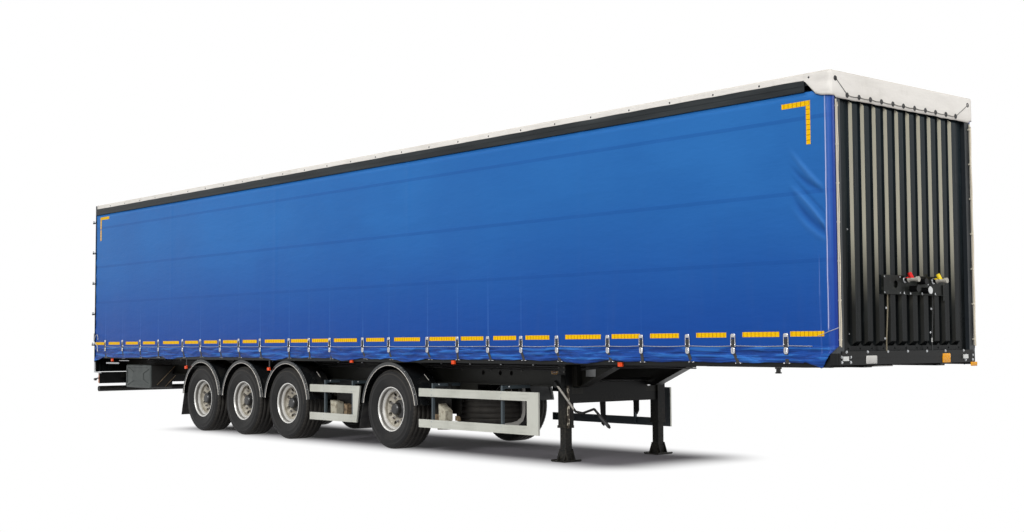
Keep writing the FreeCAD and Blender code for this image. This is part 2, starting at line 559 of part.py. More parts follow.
def buckle(x):
    """Over-centre buckle: an open loop, a lever and a tongue, with its strap to the side rail."""
    low = HEM_FRONT + BUCKLE_LOW
    high = low + BUCKLE_HIGH
    half = BUCKLE_WIDTH / 2
    y0 = CURTAIN_OUT
    frame = plate_xz([(x - half + 8.0, low), (x + half - 8.0, low), (x + half, low + 40.0),
                      (x + half, high - 10.0), (x + half - 10.0, high), (x - half + 10.0, high),
                      (x - half, high - 10.0), (x - half, low + 40.0)], y0, y0 + BUCKLE_THICK)
    window = box(x - half + 12.0, x + half - 12.0, y0, y0 + BUCKLE_THICK, high - 62.0, high - 14.0)
    lever = plate_xz([(x - 14.0, low + 62.0), (x + 14.0, low + 62.0), (x + 18.0, low + 118.0),
                      (x - 18.0, low + 118.0)], y0, y0 + LEVER_THICK)
    hem = hem_height(x) - STRAP_HOOK
    strap = plate_xz([(x + STRAP_LEAN - STRAP_WIDTH / 2, hem), (x + STRAP_LEAN + STRAP_WIDTH / 2, hem),
                      (x + STRAP_WIDTH / 2, low + 20.0), (x - STRAP_WIDTH / 2, low + 20.0)],
                     y0, y0 + STRAP_THICK)
    return joined([frame.cut(window), lever, strap])


def curtains():
    """Side curtains with their tension straps and buckles, and the sliding pillars inside."""
    left = curtain()
    keep("curtain_left", left)
    keep("curtain_right", other_side(left))
    straps = []
    for distance in BUCKLES:
        if FRONT - distance > CURTAIN_REAR + BUCKLE_WIDTH:
            straps += both_sides(buckle(FRONT - distance))
    keep("curtain_buckles", straps)
    posts = []
    out = CURTAIN_IN - PILLAR_GAP
    for distance in PILLARS:
        x = FRONT - distance
        half = PILLAR_WIDTH / 2
        tube = box(x - half, x + half, out - PILLAR_DEPTH, out, FLOOR_TOP, CANTRAIL_BOTTOM + RAIL_LIP)
        hollow = box(x - half + PILLAR_WALL, x + half - PILLAR_WALL, out - PILLAR_DEPTH + PILLAR_WALL,
                     out - PILLAR_WALL, FLOOR_TOP, CANTRAIL_BOTTOM + RAIL_LIP)
        posts += both_sides(tube.cut(hollow))
    keep("side_pillars", posts)


# ---------------------------------------------------------------- rear portal and doors
PORTAL_POST = 90.0
PORTAL_SETBACK = 5.0
HEADER_DEPTH = 190.0
SILL_BOTTOM = 1100.0
PORTAL_FOOT = 915.0            # posts and apron plate reach down to here
APRON_THICK = 30.0
LAP_RELIEF = 1.0               # post behind the curtain's inner face
DOOR_GAP = 8.0
DOOR_EDGE = 50.0               # door edge inside the hinge pins
DOOR_LAP = 80.0                # doors over the header
SILL_LAP = 60.0                # doors over the sill
PIN_BEHIND = 45.0              # hinge pins behind the doors' outer face
PIN_RADIUS = 8.0
KNUCKLE_RADIUS = 13.0
HINGE_COUNT = 5
HINGE_HEIGHT = 52.0
HINGE_MARGIN = 200.0
LEAF_THICK = 9.0
LEAF_REACH = 260.0
EAR_THICK = 8.0
PLANK_HEIGHT = 300.0
PLANK_GROOVE = 6.0
LOCK_ROD_RADIUS = 13.5
LOCK_RODS = (210.0, 820.0)     # distances of the rods from the middle
ROD_OVER = 40.0
HANDLE_Z = 1650.0
HANDLE_LENGTH = 290.0
BUFFER_SIZE = (90.0, 180.0, 75.0)
BUFFER_Y = 1060.0
HEADER_BOTTOM = BODY_HEIGHT - HEADER_DEPTH
DOOR_TOP = HEADER_BOTTOM + DOOR_LAP
DOOR_BOTTOM = FLOOR_TOP - SILL_LAP
PIN_Y = HALF_WIDTH
PIN_X = REAR - PIN_BEHIND


def hinge_heights():
    step = (DOOR_TOP - DOOR_BOTTOM - 2 * HINGE_MARGIN) / (HINGE_COUNT - 1)
    return [DOOR_BOTTOM + HINGE_MARGIN + i * step for i in range(HINGE_COUNT)]


def portal():
    """Frame of two posts, a header and a sill, with the fixed halves of the hinges."""
    x0, x1 = PORTAL_REAR, PORTAL_FRONT
    side = HALF_WIDTH - PORTAL_SETBACK
    roof_line = BODY_HEIGHT - PORTAL_SETBACK
    post = box(x0, x1, HALF_WIDTH - PORTAL_POST, side, PORTAL_FOOT, roof_line)
    header = box(x0, x1, -side, side, HEADER_BOTTOM, roof_line)
    sill = box(x0, x1, -side, side, SILL_BOTTOM, FLOOR_TOP)
    apron = box(x1 - APRON_THICK, x1, -side, side, PORTAL_FOOT, SILL_BOTTOM)
    frame = joined(both_sides(post) + [header, sill, apron])
    for lap in both_sides(box(x0 + POST_LAP, x1, CURTAIN_IN - LAP_RELIEF, HALF_WIDTH, PORTAL_FOOT,
                              CANTRAIL_BOTTOM)):
        frame = frame.cut(lap)
    pieces = [frame]
    for z in hinge_heights():
        low = z - HINGE_HEIGHT / 2
        ear = box(PIN_X, x0 + POST_LAP - 2.0, side, side + EAR_THICK, low, z - 2.0)
        knuckle = Part.makeCylinder(KNUCKLE_RADIUS, HINGE_HEIGHT / 2 - 2.0, V(PIN_X, PIN_Y, low))
        pin = Part.makeCylinder(PIN_RADIUS, HINGE_HEIGHT + 6.0, V(PIN_X, PIN_Y, low))
        pieces += both_sides(joined([ear, knuckle, pin]))
    keep("rear_portal", joined(pieces))
    length, width, height = BUFFER_SIZE
    block = box(x0 - length, x0, BUFFER_Y - width / 2, BUFFER_Y + width / 2, SILL_BOTTOM + 4.0,
                SILL_BOTTOM + 4.0 + height - 10.0)
    keep("rear_buffers", both_sides(block))


def door():
    """Left door: planked panel in a flush frame."""
    edge = PIN_Y - DOOR_EDGE
    panel = box(REAR, REAR + DOOR_THICK, DOOR_GAP / 2, edge, DOOR_BOTTOM, DOOR_TOP)
    frame = 60.0
    grooves = []
    count = int((DOOR_TOP - DOOR_BOTTOM - 2 * frame) // PLANK_HEIGHT)
    for i in range(count + 1):
        z = DOOR_BOTTOM + frame + i * PLANK_HEIGHT
        grooves.append(box(REAR, REAR + 3.0, DOOR_GAP / 2 + frame, edge - frame, z, z + PLANK_GROOVE))
    return panel.cut(Part.Compound(grooves))


def door_gear():
    """Left door's hinge leaves, lock rods in their guides, and handles."""
    edge = PIN_Y - DOOR_EDGE
    gear = []
    for z in hinge_heights():
        high = z + HINGE_HEIGHT / 2
        leaf = plate_xy([(REAR, edge - LEAF_REACH), (REAR, edge), (PIN_X + 5.0, PIN_Y - 4.0),
                         (PIN_X - 6.0, PIN_Y - 10.0), (REAR - LEAF_THICK, edge - 12.0),
                         (REAR - LEAF_THICK, edge - LEAF_REACH)], z + 1.0, high)
        knuckle = Part.makeCylinder(KNUCKLE_RADIUS, HINGE_HEIGHT / 2 - 1.0, V(PIN_X, PIN_Y, z + 1.0))
        bore = Part.makeCylinder(PIN_RADIUS + CLEARANCE, HINGE_HEIGHT, V(PIN_X, PIN_Y, z))
        gear.append(joined([leaf, knuckle]).cut(bore))
    rod_x = REAR - LOCK_ROD_RADIUS
    for y in LOCK_RODS:
        parts = [bar((rod_x, y, DOOR_BOTTOM - ROD_OVER), (rod_x, y, DOOR_TOP - 10.0), LOCK_ROD_RADIUS)]
        for z in (DOOR_BOTTOM + 30.0, HANDLE_Z - 250.0, HANDLE_Z + 900.0, DOOR_TOP - 60.0):
            parts.append(box(REAR - 2 * LOCK_ROD_RADIUS, REAR, y - 32.0, y + 32.0, z - 15.0, z + 15.0))
        towards = -1 if y > PIN_Y / 2 else 1
        grip = box(REAR - 22.0, REAR - 8.0, y, y + towards * HANDLE_LENGTH, HANDLE_Z - 14.0,
                   HANDLE_Z + 14.0)
        keeper = box(REAR - 22.0, REAR, y + towards * (HANDLE_LENGTH - 60.0),
                     y + towards * (HANDLE_LENGTH - 30.0), HANDLE_Z - 26.0, HANDLE_Z + 26.0)
        gear.append(joined(parts + [grip, keeper]))
    return gear


def rear_end():
    portal()
    left = door()
    keep("rear_door_left", left)
    keep("rear_door_right", other_side(left))
    gear = door_gear()
    keep("door_gear_left", gear)
    keep("door_gear_right", [other_side(g) for g in gear])


# ---------------------------------------------------------------- wheels and axles
RIM_WIDTH = 318.0
RIM_SKIN = 12.0
BEAD_STEP = 12.0
WELL_RADIUS = 246.0
DISC_INSET = 140.0             # disc face, inside the outer rim edge
DISC_THICK = 14.0
DISC_DISH = 26.0
HUB_RADIUS = 142.0
HUB_LENGTH = 150.0
CAP_RADIUS = 76.0
CAP_LENGTH = 92.0
HAND_HOLES = 8
HAND_HOLE_RADIUS = 27.0
HAND_HOLE_CIRCLE = 206.0
AXLE_TUBE = 127.0
BRAKE_RADIUS = 195.0
BRAKE_THICK = 60.0
CHAMBER_RADIUS = 75.0
CHAMBER_LENGTH = 125.0
HANGER_LEAD = 500.0
HANGER_DROP = 240.0
HANGER_WIDTH = 110.0
ARM_WIDTH = 100.0
ARM_HEIGHT = 60.0
ARM_TAIL = 420.0
SPRING_BEHIND = 290.0
SPRING_RADIUS = 125.0
AXLE_Z = TYRE_RADIUS


def tyre(centre):
    """Wide single tyre, turned round its axle: flat crown, round shoulders, bulged sidewalls."""
    half = TYRE_WIDTH / 2
    seat = RIM_RADIUS - BEAD_STEP
    lip = RIM_WIDTH / 2
    side = [(seat, lip - BEAD_STEP), (RIM_RADIUS + 14.0, lip + 4.0), (RIM_RADIUS + 105.0, half),
            (TYRE_RADIUS - 66.0, half - 7.0), (TYRE_RADIUS - 16.0, half - 30.0),
            (TYRE_RADIUS, half - 62.0)]
    return turned([(r, -a) for r, a in side] + list(reversed(side)), centre)


def rim(centre, outward):
    """Steel disc wheel on its hub: stepped rim, dished disc with hand holes, round hub cap."""
    half = RIM_WIDTH / 2
    face = half - DISC_INSET
    seat = RIM_RADIUS - BEAD_STEP - CLEARANCE
    bore = seat - RIM_SKIN
    back = face - DISC_THICK
    disc_edge = WELL_RADIUS - RIM_SKIN
    profile = [(seat, half - BEAD_STEP), (RIM_RADIUS - CLEARANCE, half - 4.0), (RIM_RADIUS, half + 3.0),
               (RIM_RADIUS - 10.0, half + 3.0), (bore, half - 14.0), (bore, half - 52.0),
               (disc_edge, half - 76.0), (disc_edge, face + DISC_DISH), (HUB_RADIUS + 34.0, face),
               (HUB_RADIUS, face), (CAP_RADIUS + 16.0, face + 30.0), (CAP_RADIUS, face + CAP_LENGTH - 14.0),
               (CAP_RADIUS - 14.0, face + CAP_LENGTH), (0.0, face + CAP_LENGTH), (0.0, face - HUB_LENGTH),
               (HUB_RADIUS, face - HUB_LENGTH), (HUB_RADIUS, back), (HUB_RADIUS + 34.0, back),
               (disc_edge, back + DISC_DISH), (disc_edge, back - 40.0), (bore, back - 62.0),
               (bore, -half + 14.0), (RIM_RADIUS, -half - 3.0), (seat, -half + BEAD_STEP)]
    wheel = turned([(r, outward * a) for r, a in profile], centre)
    holes = []
    for i in range(HAND_HOLES):
        angle = 2 * math.pi * (i + 0.5) / HAND_HOLES
        x = centre.x + HAND_HOLE_CIRCLE * math.cos(angle)
        z = centre.z + HAND_HOLE_CIRCLE * math.sin(angle)
        holes.append(bar((x, centre.y + outward * (back - 5.0), z),
                         (x, centre.y + outward * (face + DISC_DISH + 5.0), z), HAND_HOLE_RADIUS))
    return wheel.cut(Part.Compound(holes))


def axle(x):
    """Axle tube with brake backs at its ends and two air chambers behind it."""
    end = WHEEL_Y + RIM_WIDTH / 2 - DISC_INSET - HUB_LENGTH - CLEARANCE
    pieces = [bar((x, -end, AXLE_Z), (x, end, AXLE_Z), AXLE_TUBE / 2)]
    for side in (1, -1):
        pieces.append(bar((x, side * (end - BRAKE_THICK), AXLE_Z), (x, side * (end - 4.0), AXLE_Z),
                          BRAKE_RADIUS))
        chamber_y = side * (end - BRAKE_THICK)
        chamber_z = AXLE_Z + 30.0
        pieces.append(bar((x - 150.0, chamber_y, chamber_z),
                          (x - 150.0, chamber_y - side * CHAMBER_LENGTH, chamber_z), CHAMBER_RADIUS))
    return joined(pieces)


def suspension(x):
    """Left hanger bracket, trailing arm over the axle and air spring on the arm's tail."""
    hanger_x = x + HANGER_LEAD
    low = BEAM_BOTTOM - HANGER_DROP
    half = HANGER_WIDTH / 2
    tapered = plate_xz([(hanger_x - 110.0, BEAM_BOTTOM), (hanger_x + 90.0, BEAM_BOTTOM),
                        (hanger_x + 45.0, low), (hanger_x - 45.0, low)], BEAM_Y - half, BEAM_Y + half)
    slot = box(hanger_x - 120.0, hanger_x + 38.0, BEAM_Y - half + 10.0, BEAM_Y + half - 10.0, low,
               BEAM_BOTTOM - 110.0)
    over = AXLE_Z + AXLE_TUBE / 2
    eye_z = low + 55.0
    arm = plate_xz([(hanger_x - 10.0, eye_z - 28.0), (hanger_x - 10.0, eye_z + 28.0),
                    (x + 90.0, over + ARM_HEIGHT), (x - ARM_TAIL, over + ARM_HEIGHT),
                    (x - ARM_TAIL, over + ARM_HEIGHT - 20.0), (x - 90.0, over), (x + 90.0, over)],
                   BEAM_Y - half + 12.0, BEAM_Y + half - 12.0)
    eye = bar((hanger_x - 8.0, BEAM_Y - half + 10.0 + CLEARANCE, eye_z),
              (hanger_x - 8.0, BEAM_Y + half - 10.0 - CLEARANCE, eye_z), 42.0)
    spring_z = over + ARM_HEIGHT
    rise = BEAM_BOTTOM - spring_z
    waist, lobe = SPRING_RADIUS * 0.72, SPRING_RADIUS
    shares = [(waist, 0.0), (lobe, 0.18), (lobe, 0.36), (waist, 0.50), (lobe, 0.64), (lobe, 0.86), (waist, 1.0)]
    spring_x = x - SPRING_BEHIND
    ring = [V(spring_x, BEAM_Y, spring_z)]
    ring += [V(spring_x + r, BEAM_Y, spring_z + share * rise) for r, share in shares]
    ring.append(V(spring_x, BEAM_Y, spring_z + rise))
    spring = outline(ring).revolve(ring[0], Z_AXIS, 360)
    return tapered.cut(slot), joined([arm, eye]), spring


def running_gear():
    """Eight wheels on four straight axles, each carried by trailing arms and air springs."""
    for number, x in enumerate(AXLES, 1):
        for side, word in ((1, "left"), (-1, "right")):
            centre = V(x, side * WHEEL_Y, AXLE_Z)
            keep("tyre_%d_%s" % (number, word), tyre(centre))
            keep("wheel_%d_%s" % (number, word), rim(centre, side))
        keep("axle_%d" % number, axle(x))
    arms = []
    springs = []
    for x in AXLES:
        hanger, arm, spring = suspension(x)
        arms += both_sides(hanger) + both_sides(arm)
        springs += both_sides(spring)
    keep("suspension_arms", arms)
    keep("air_springs", springs)


# ---------------------------------------------------------------- mudguards and flaps
GUARD_SPACING = 64.0           # between neighbouring mudguards
GUARD_THICK = 6.0
GUARD_LOW = 600.0
GUARD_FLANGE = 36.0            # turned-in outer edge, seen from the side
GUARD_IN = 815.0
GUARD_OUT = 1222.0
BAND_WIDTH = 46.0
BAND_HEIGHT = 8.0
GUARD_RADIUS = (AXLE_PITCH - GUARD_SPACING) / 2
FLAP_WIDTH = 390.0
FLAP_SHEET = 5.0
FLAP_LOW = 240.0
FLAP_RISE = 150.0
FLAP_LEAN = 130.0              # flap's foot behind its top


def arch(x, radius, thick, y0, y1):
    """Part of a round shell over a wheel, down to the guard's lower ends."""
    start = V(x, y0, AXLE_Z)
    ring = Part.makeCylinder(radius, y1 - y0, start, Y_AXIS)
    ring = ring.cut(Part.makeCylinder(radius - thick, y1 - y0, start, Y_AXIS))
    return ring.common(box(x - radius, x + radius, y0, y1, GUARD_LOW, AXLE_Z + radius))


def mudguard(x):
    """Arched guard with a raised outer band, held by a stay from the main beam."""
    shell = arch(x, GUARD_RADIUS, GUARD_THICK, GUARD_IN, GUARD_OUT)
    band = arch(x, GUARD_RADIUS + BAND_HEIGHT, BAND_HEIGHT + 1.0, GUARD_OUT - BAND_WIDTH, GUARD_OUT)
    flange = arch(x, GUARD_RADIUS, GUARD_FLANGE, GUARD_OUT - GUARD_THICK, GUARD_OUT)
    stays = []
    for angle in (62.0, 118.0):
        reach = GUARD_RADIUS - GUARD_THICK - 10.0
        px = x + reach * math.cos(math.radians(angle))
        pz = AXLE_Z + reach * math.sin(math.radians(angle))
        stays.append(bar((px, WEB_OUT, pz), (px, GUARD_OUT - BAND_WIDTH, pz), 12.0))
    return joined([shell, band, flange] + stays)


def mudguards():
    keep("mudguards", [m for x in AXLES for m in both_sides(mudguard(x))])
    flaps = []
    reach = math.sqrt(GUARD_RADIUS ** 2 - (GUARD_LOW - AXLE_Z) ** 2)
    for x in (AXLES[0], AXLES[-1]):
        back = x - reach - CLEARANCE
        high = GUARD_LOW + FLAP_RISE
        flap = plate_xz([(back - FLAP_SHEET, high), (back, high), (back - FLAP_LEAN, FLAP_LOW),
                         (back - FLAP_LEAN - FLAP_SHEET, FLAP_LOW)],
                        WHEEL_Y - FLAP_WIDTH / 2, GUARD_OUT - BAND_WIDTH - 1.0)
        flaps += both_sides(flap)
    keep("mud_flaps", flaps)


# ---------------------------------------------------------------- landing gear
LEG_TUBE_LOW = 400.0
FOOT_SIZE = 260.0
FOOT_PLATE = 12.0
FOOT_HEIGHT = 150.0
FOOT_CHEEK = 12.0
TIE_LOW = 690.0
TIE_HIGH = 868.0
TIE_UPPER = 932.0              # raised middle of the tie, between the beams
TIE_DEPTH = 80.0
TIE_WALL = 6.0
CRANK_RADIUS = 14.0
CRANK_BEND = 20.0
CRANK_OFF = 20.0               # crank outside the gearbox
# crank's corners: distance ahead of the legs, height
CRANK_RUN = ((330.0, 610.0), (450.0, 595.0), (640.0, 650.0), (890.0, 445.0))
GEARBOX = (120.0, 70.0, 150.0)
GEARBOX_LOW = 880.0
GEARBOX_MIDDLE = GEARBOX_LOW + GEARBOX[2] / 2
SHAFT_RADIUS = 16.0


def landing_leg(y):
    """Square telescopic leg with a bottom foot of two tapered cheeks on a flared plate."""
    half, inner = LEG_OUTER / 2, LEG_INNER / 2
    outer = box(LEG_X - half, LEG_X + half, y - half, y + half, LEG_TUBE_LOW, LEG_TOP)
    slim = box(LEG_X - inner, LEG_X + inner, y - inner, y + inner, FOOT_PLATE, LEG_TUBE_LOW)
    collar = box(LEG_X - half - 8.0, LEG_X + half + 8.0, y - half - 0.0, y + half + 8.0,
                 LEG_TUBE_LOW, LEG_TUBE_LOW + 30.0)
    low = FOOT_SIZE / 2
    plate = plate_xz([(LEG_X - low, FOOT_PLATE), (LEG_X - low + 8.0, FOOT_PLATE + 14.0),
                      (LEG_X - low + 22.0, FOOT_PLATE), (LEG_X + low - 22.0, FOOT_PLATE),
                      (LEG_X + low - 8.0, FOOT_PLATE + 14.0), (LEG_X + low, FOOT_PLATE),
                      (LEG_X + low - 18.0, 0.0), (LEG_X - low + 18.0, 0.0)], y - low, y + low)
    cheeks = [plate_xz([(LEG_X - low + 25.0, FOOT_PLATE), (LEG_X + low - 25.0, FOOT_PLATE),
                        (LEG_X + inner + 6.0, FOOT_HEIGHT), (LEG_X - inner - 6.0, FOOT_HEIGHT)],
                       y + side * inner, y + side * (inner + FOOT_CHEEK)) for side in (1, -1)]
    gussets = [plate_yz([(y - low + 30.0, FOOT_PLATE), (y + low - 30.0, FOOT_PLATE),
                         (y + inner, FOOT_HEIGHT * 0.7), (y - inner, FOOT_HEIGHT * 0.7)],
                        LEG_X + side * inner, LEG_X + side * (inner + FOOT_CHEEK)) for side in (1, -1)]
    return joined([outer, slim, collar, plate] + cheeks + gussets)


def landing_gear():
    """Two telescopic legs with feet, tied by a cross tube and wound down with a crank."""
    keep("landing_legs", [landing_leg(LEG_Y), other_side(landing_leg(LEG_Y))])
    face = LEG_Y - LEG_OUTER / 2
    half = TIE_DEPTH / 2
    tie = box(LEG_X - half, LEG_X + half, -face, face, TIE_LOW, TIE_HIGH)
    tie = tie.cut(box(LEG_X - half + TIE_WALL, LEG_X + half - TIE_WALL, -face, face, TIE_LOW + TIE_WALL,
                      TIE_HIGH - TIE_WALL))
    clear = BEAM_Y - FLANGE_WIDTH / 2 - TIE_WALL
    tie = joined([tie, box(LEG_X + half - TIE_WALL, LEG_X + half, -clear, clear, TIE_HIGH - TIE_WALL, TIE_UPPER)])
    shaft = bar((LEG_X, -face, GEARBOX_MIDDLE), (LEG_X, face, GEARBOX_MIDDLE), SHAFT_RADIUS)
    outer = LEG_Y + LEG_OUTER / 2
    length, depth, height = GEARBOX
    gearbox = box(LEG_X - length / 2, LEG_X + length / 2, -outer - depth, -outer, GEARBOX_LOW,
                  GEARBOX_LOW + height)
    crank_y = -outer - depth - CRANK_OFF
    start_z = GEARBOX_LOW + height / 2
    start_x = LEG_X - length / 4
    run = [(start_x, crank_y + CRANK_OFF + 5.0, start_z), (start_x, crank_y, start_z)]
    run += [(LEG_X + ahead, crank_y, z) for ahead, z in CRANK_RUN]
    crank = bent_bar(run, CRANK_RADIUS, CRANK_BEND)
    keep("landing_drive", [tie, shaft, joined([gearbox, crank])])


# ---------------------------------------------------------------- side guards
GUARD_Y = 1200.0
GUARD_RAIL = 105.0
GUARD_RAIL_THICK = 25.0
UPPER_RAIL_Z = 723.0
LOWER_RAIL_Z = 322.0
GUARD_POST = 30.0
ARM_RISE = 14.0                # arms stand this far above the beams' underside
ARM_HEIGHT = 40.0
GUARD_POST_DEPTH = 35.0
LONG_GUARD_LEAD = 643.0        # ahead of the first axle
LONG_GUARD_END = 50.0          # behind the landing legs
SHORT_GUARD_LEAD = 630.0       # ahead of the second axle
SHORT_GUARD_END = 710.0        # behind the first axle
LONG_END_PLATE = 200.0
LONG_GUARD_POSTS = (257.0, 1638.0)     # posts ahead of the guard's rear end
SHORT_GUARD_POSTS = (357.0, 1053.0)
LEFT_END_SETBACK = 80.0        # the left guard ends sooner, in a narrower upright
LEFT_END_PLATE = 100.0
SHORT_END_PLATE = 170.0
SHORT_END_LEAN = 80.0


def guard(x0, x1, plate, lean, posts):
    """Two aluminium rails that end in a wide front upright, on posts held out from the beam by arms."""
    top = UPPER_RAIL_Z + GUARD_RAIL
    y0 = GUARD_Y - GUARD_RAIL_THICK
    parts = [box(x0, x1 - plate / 2, y0, GUARD_Y, UPPER_RAIL_Z, top),
             box(x0, x1 - plate / 2 - lean, y0, GUARD_Y, LOWER_RAIL_Z, LOWER_RAIL_Z + GUARD_RAIL),
             plate_xz([(x1 - plate, top), (x1, top), (x1 - lean, LOWER_RAIL_Z),
                       (x1 - plate, LOWER_RAIL_Z)], y0, GUARD_Y)]
    back = y0 - GUARD_POST_DEPTH
    for x in (x0 + lead for lead in posts):
        parts.append(box(x - GUARD_POST / 2, x + GUARD_POST / 2, back, y0, LOWER_RAIL_Z + 20.0,
                         BEAM_BOTTOM + ARM_RISE))
        parts.append(box(x - GUARD_POST / 2, x + GUARD_POST / 2, FLANGE_OUT, back + 1.0,
                         BEAM_BOTTOM + ARM_RISE - ARM_HEIGHT, BEAM_BOTTOM + ARM_RISE))
    return joined(parts)


def side_guards():
    rear, front = AXLE_1 + LONG_GUARD_LEAD, LEG_X - LONG_GUARD_END
    right = guard(rear, front, LONG_END_PLATE, 0.0, LONG_GUARD_POSTS)
    left = guard(rear, front - LEFT_END_SETBACK, LEFT_END_PLATE, 0.0, LONG_GUARD_POSTS)
    short = guard(AXLES[1] + SHORT_GUARD_LEAD, AXLE_1 - SHORT_GUARD_END, SHORT_END_PLATE,
                  SHORT_END_LEAN, SHORT_GUARD_POSTS)
    keep("side_guards", [left, other_side(right)] + both_sides(short))


# ---------------------------------------------------------------- boxes, tanks, spare wheel
BOX_REAR = 1120.0              # storage box ahead of the rear face
BOX_LENGTH = 965.0
BOX_OUT = 1150.0
BOX_IN = FLANGE_OUT + 6.0
PLAQUE_X = 200.0
PLAQUE_Z = 80.0
BOX_BOTTOM = 648.0
BOX_TOP = 1055.0
BOX_ROUND = 28.0
BOX_BEAD = 10.0
TANK_RADIUS = 130.0
TANK_LENGTH = 700.0
TANK_Y = 350.0
TANK_HANG = 16.0
SPARE_LEAD = 780.0             # spare wheel ahead of the first axle
SPARE_Z = 520.0
CRADLE_BAR = 80.0
CRADLE_SHEET = 12.0
CRADLE_END = 12.0              # cradle's uprights beyond the tyre


def storage_box():
    """Moulded box with a cross-braced door panel, hung from the right beam."""
    x0 = REAR + BOX_REAR
    x1 = x0 + BOX_LENGTH
    body = box(x0, x1, -BOX_OUT, -BOX_IN, BOX_BOTTOM, BOX_TOP)
    body = body.makeFillet(BOX_ROUND, [e for e in body.Edges if abs(e.BoundBox.YMin + BOX_OUT) < 0.01])
    rim_in = 45.0
    recess = box(x0 + rim_in, x1 - rim_in, -BOX_OUT, -BOX_OUT + BOX_BEAD, BOX_BOTTOM + rim_in,
                 BOX_TOP - rim_in)
    mid_x, mid_z = (x0 + x1) / 2, (BOX_BOTTOM + BOX_TOP) / 2
    beads = []
    for sx in (1, -1):
        for sz in (1, -1):
            cx, cz = mid_x + sx * (BOX_LENGTH / 2 - rim_in), mid_z + sz * (BOX_TOP - mid_z - rim_in)
            near_x, near_z = mid_x + sx * (PLAQUE_X - 10.0), mid_z + sz * (PLAQUE_Z - 5.0)
            beads.append(plate_xz([(cx, cz - sz * 26.0), (cx, cz), (cx - sx * 26.0, cz),
                                   (near_x - sx * 26.0, near_z), (near_x, near_z - sz * 26.0)],
                                  -BOX_OUT + 1.0, -BOX_OUT + BOX_BEAD))
    plaque = box(mid_x - PLAQUE_X, mid_x + PLAQUE_X, -BOX_OUT + 2.0, -BOX_OUT + BOX_BEAD,
                 mid_z - PLAQUE_Z, mid_z + PLAQUE_Z)
    hangers = [box(x, x + 40.0, -BOX_IN, -WEB_OUT, BEAM_BOTTOM + FLANGE_THICK, BOX_TOP - BOX_ROUND)
               for x in (x0 + 80.0, x1 - 120.0)]
    keep("storage_box", joined([body.cut(recess), plaque] + beads + hangers))


def air_tanks():
    """Two air tanks on saddles below the cross members."""
    tanks = []
    hang = FLOOR_UNDER - FLANGE_THICK - CROSS_HEIGHT
    z = hang - TANK_RADIUS - TANK_HANG
    for x in (REAR + REAR_OVERHANG / 2, AXLES[1] + AXLE_GAP / 2):
        start = x - TANK_LENGTH / 2
        shell = Part.makeCylinder(TANK_RADIUS, TANK_LENGTH, V(start, TANK_Y, z), X_AXIS)
        shell = shell.makeFillet(TANK_RADIUS * 0.35, [e for e in shell.Edges if e.Closed
                                                      and e.BoundBox.XLength < 0.01])
        saddle = box(start + 40.0, start + TANK_LENGTH - 40.0, TANK_Y - 20.0, TANK_Y + 20.0,
                     z + TANK_RADIUS - 10.0, hang)
        tanks.append(joined([shell, saddle]))
    keep("air_tanks", tanks)


def spare():
    """Spare wheel lying flat in a long sling hung from the cross members."""
    x = AXLE_1 + SPARE_LEAD
    flat = FreeCAD.Placement(V(x, 0, SPARE_Z), FreeCAD.Rotation(X_AXIS, 90))
    for name, shape in (("spare_tyre", tyre(V(0, 0, 0))), ("spare_wheel", rim(V(0, 0, 0), 1))):
        shape.Placement = flat
        keep(name, shape)
    low = SPARE_Z - TYRE_WIDTH / 2
    hang = FLOOR_UNDER - FLANGE_THICK - CROSS_HEIGHT
    half = CRADLE_BAR / 2
    reach = TYRE_RADIUS + CRADLE_END
    foot = box(x - reach, x + reach, -half, half, low - CRADLE_SHEET, low)
    head = box(x - reach, x + reach, -half, half, hang - CRADLE_SHEET, hang)
    ends = [box(x + side * reach, x + side * (reach + CRADLE_SHEET), -half, half, low - CRADLE_SHEET, hang)
            for side in (1, -1)]
    slings = joined([foot, head] + ends)
    keep("spare_cradle", slings)


# ---------------------------------------------------------------- lamps and underrun bar
UNDERRUN_Z = 600.0
UNDERRUN_RADIUS = 50.0
UNDERRUN_HALF = 1200.0
UNDERRUN_AHEAD = 90.0
LAMP_BOTTOM = 695.0
LAMP_TOP = 905.0
LAMP_OUT = 1180.0
LAMP_LENGTH = 450.0
LAMP_DEPTH = 50.0
STALK_RADIUS = 14.0
MARKER = (64.0, 22.0, 46.0)
# distances behind the front and heights of the side marker lamps
MARKERS = ((2820.0, 1172.0), (5760.0, 1172.0), (8030.0, 1172.0), (10240.0, 1036.0),
           (12880.0, 1032.0), (15710.0, 1134.0))
FRONT_LAMP = (85.0, 12.0, 42.0)
FRONT_LAMP_Z = 1250.0
FRONT_LAMPS = (-1110.0, 1007.0)


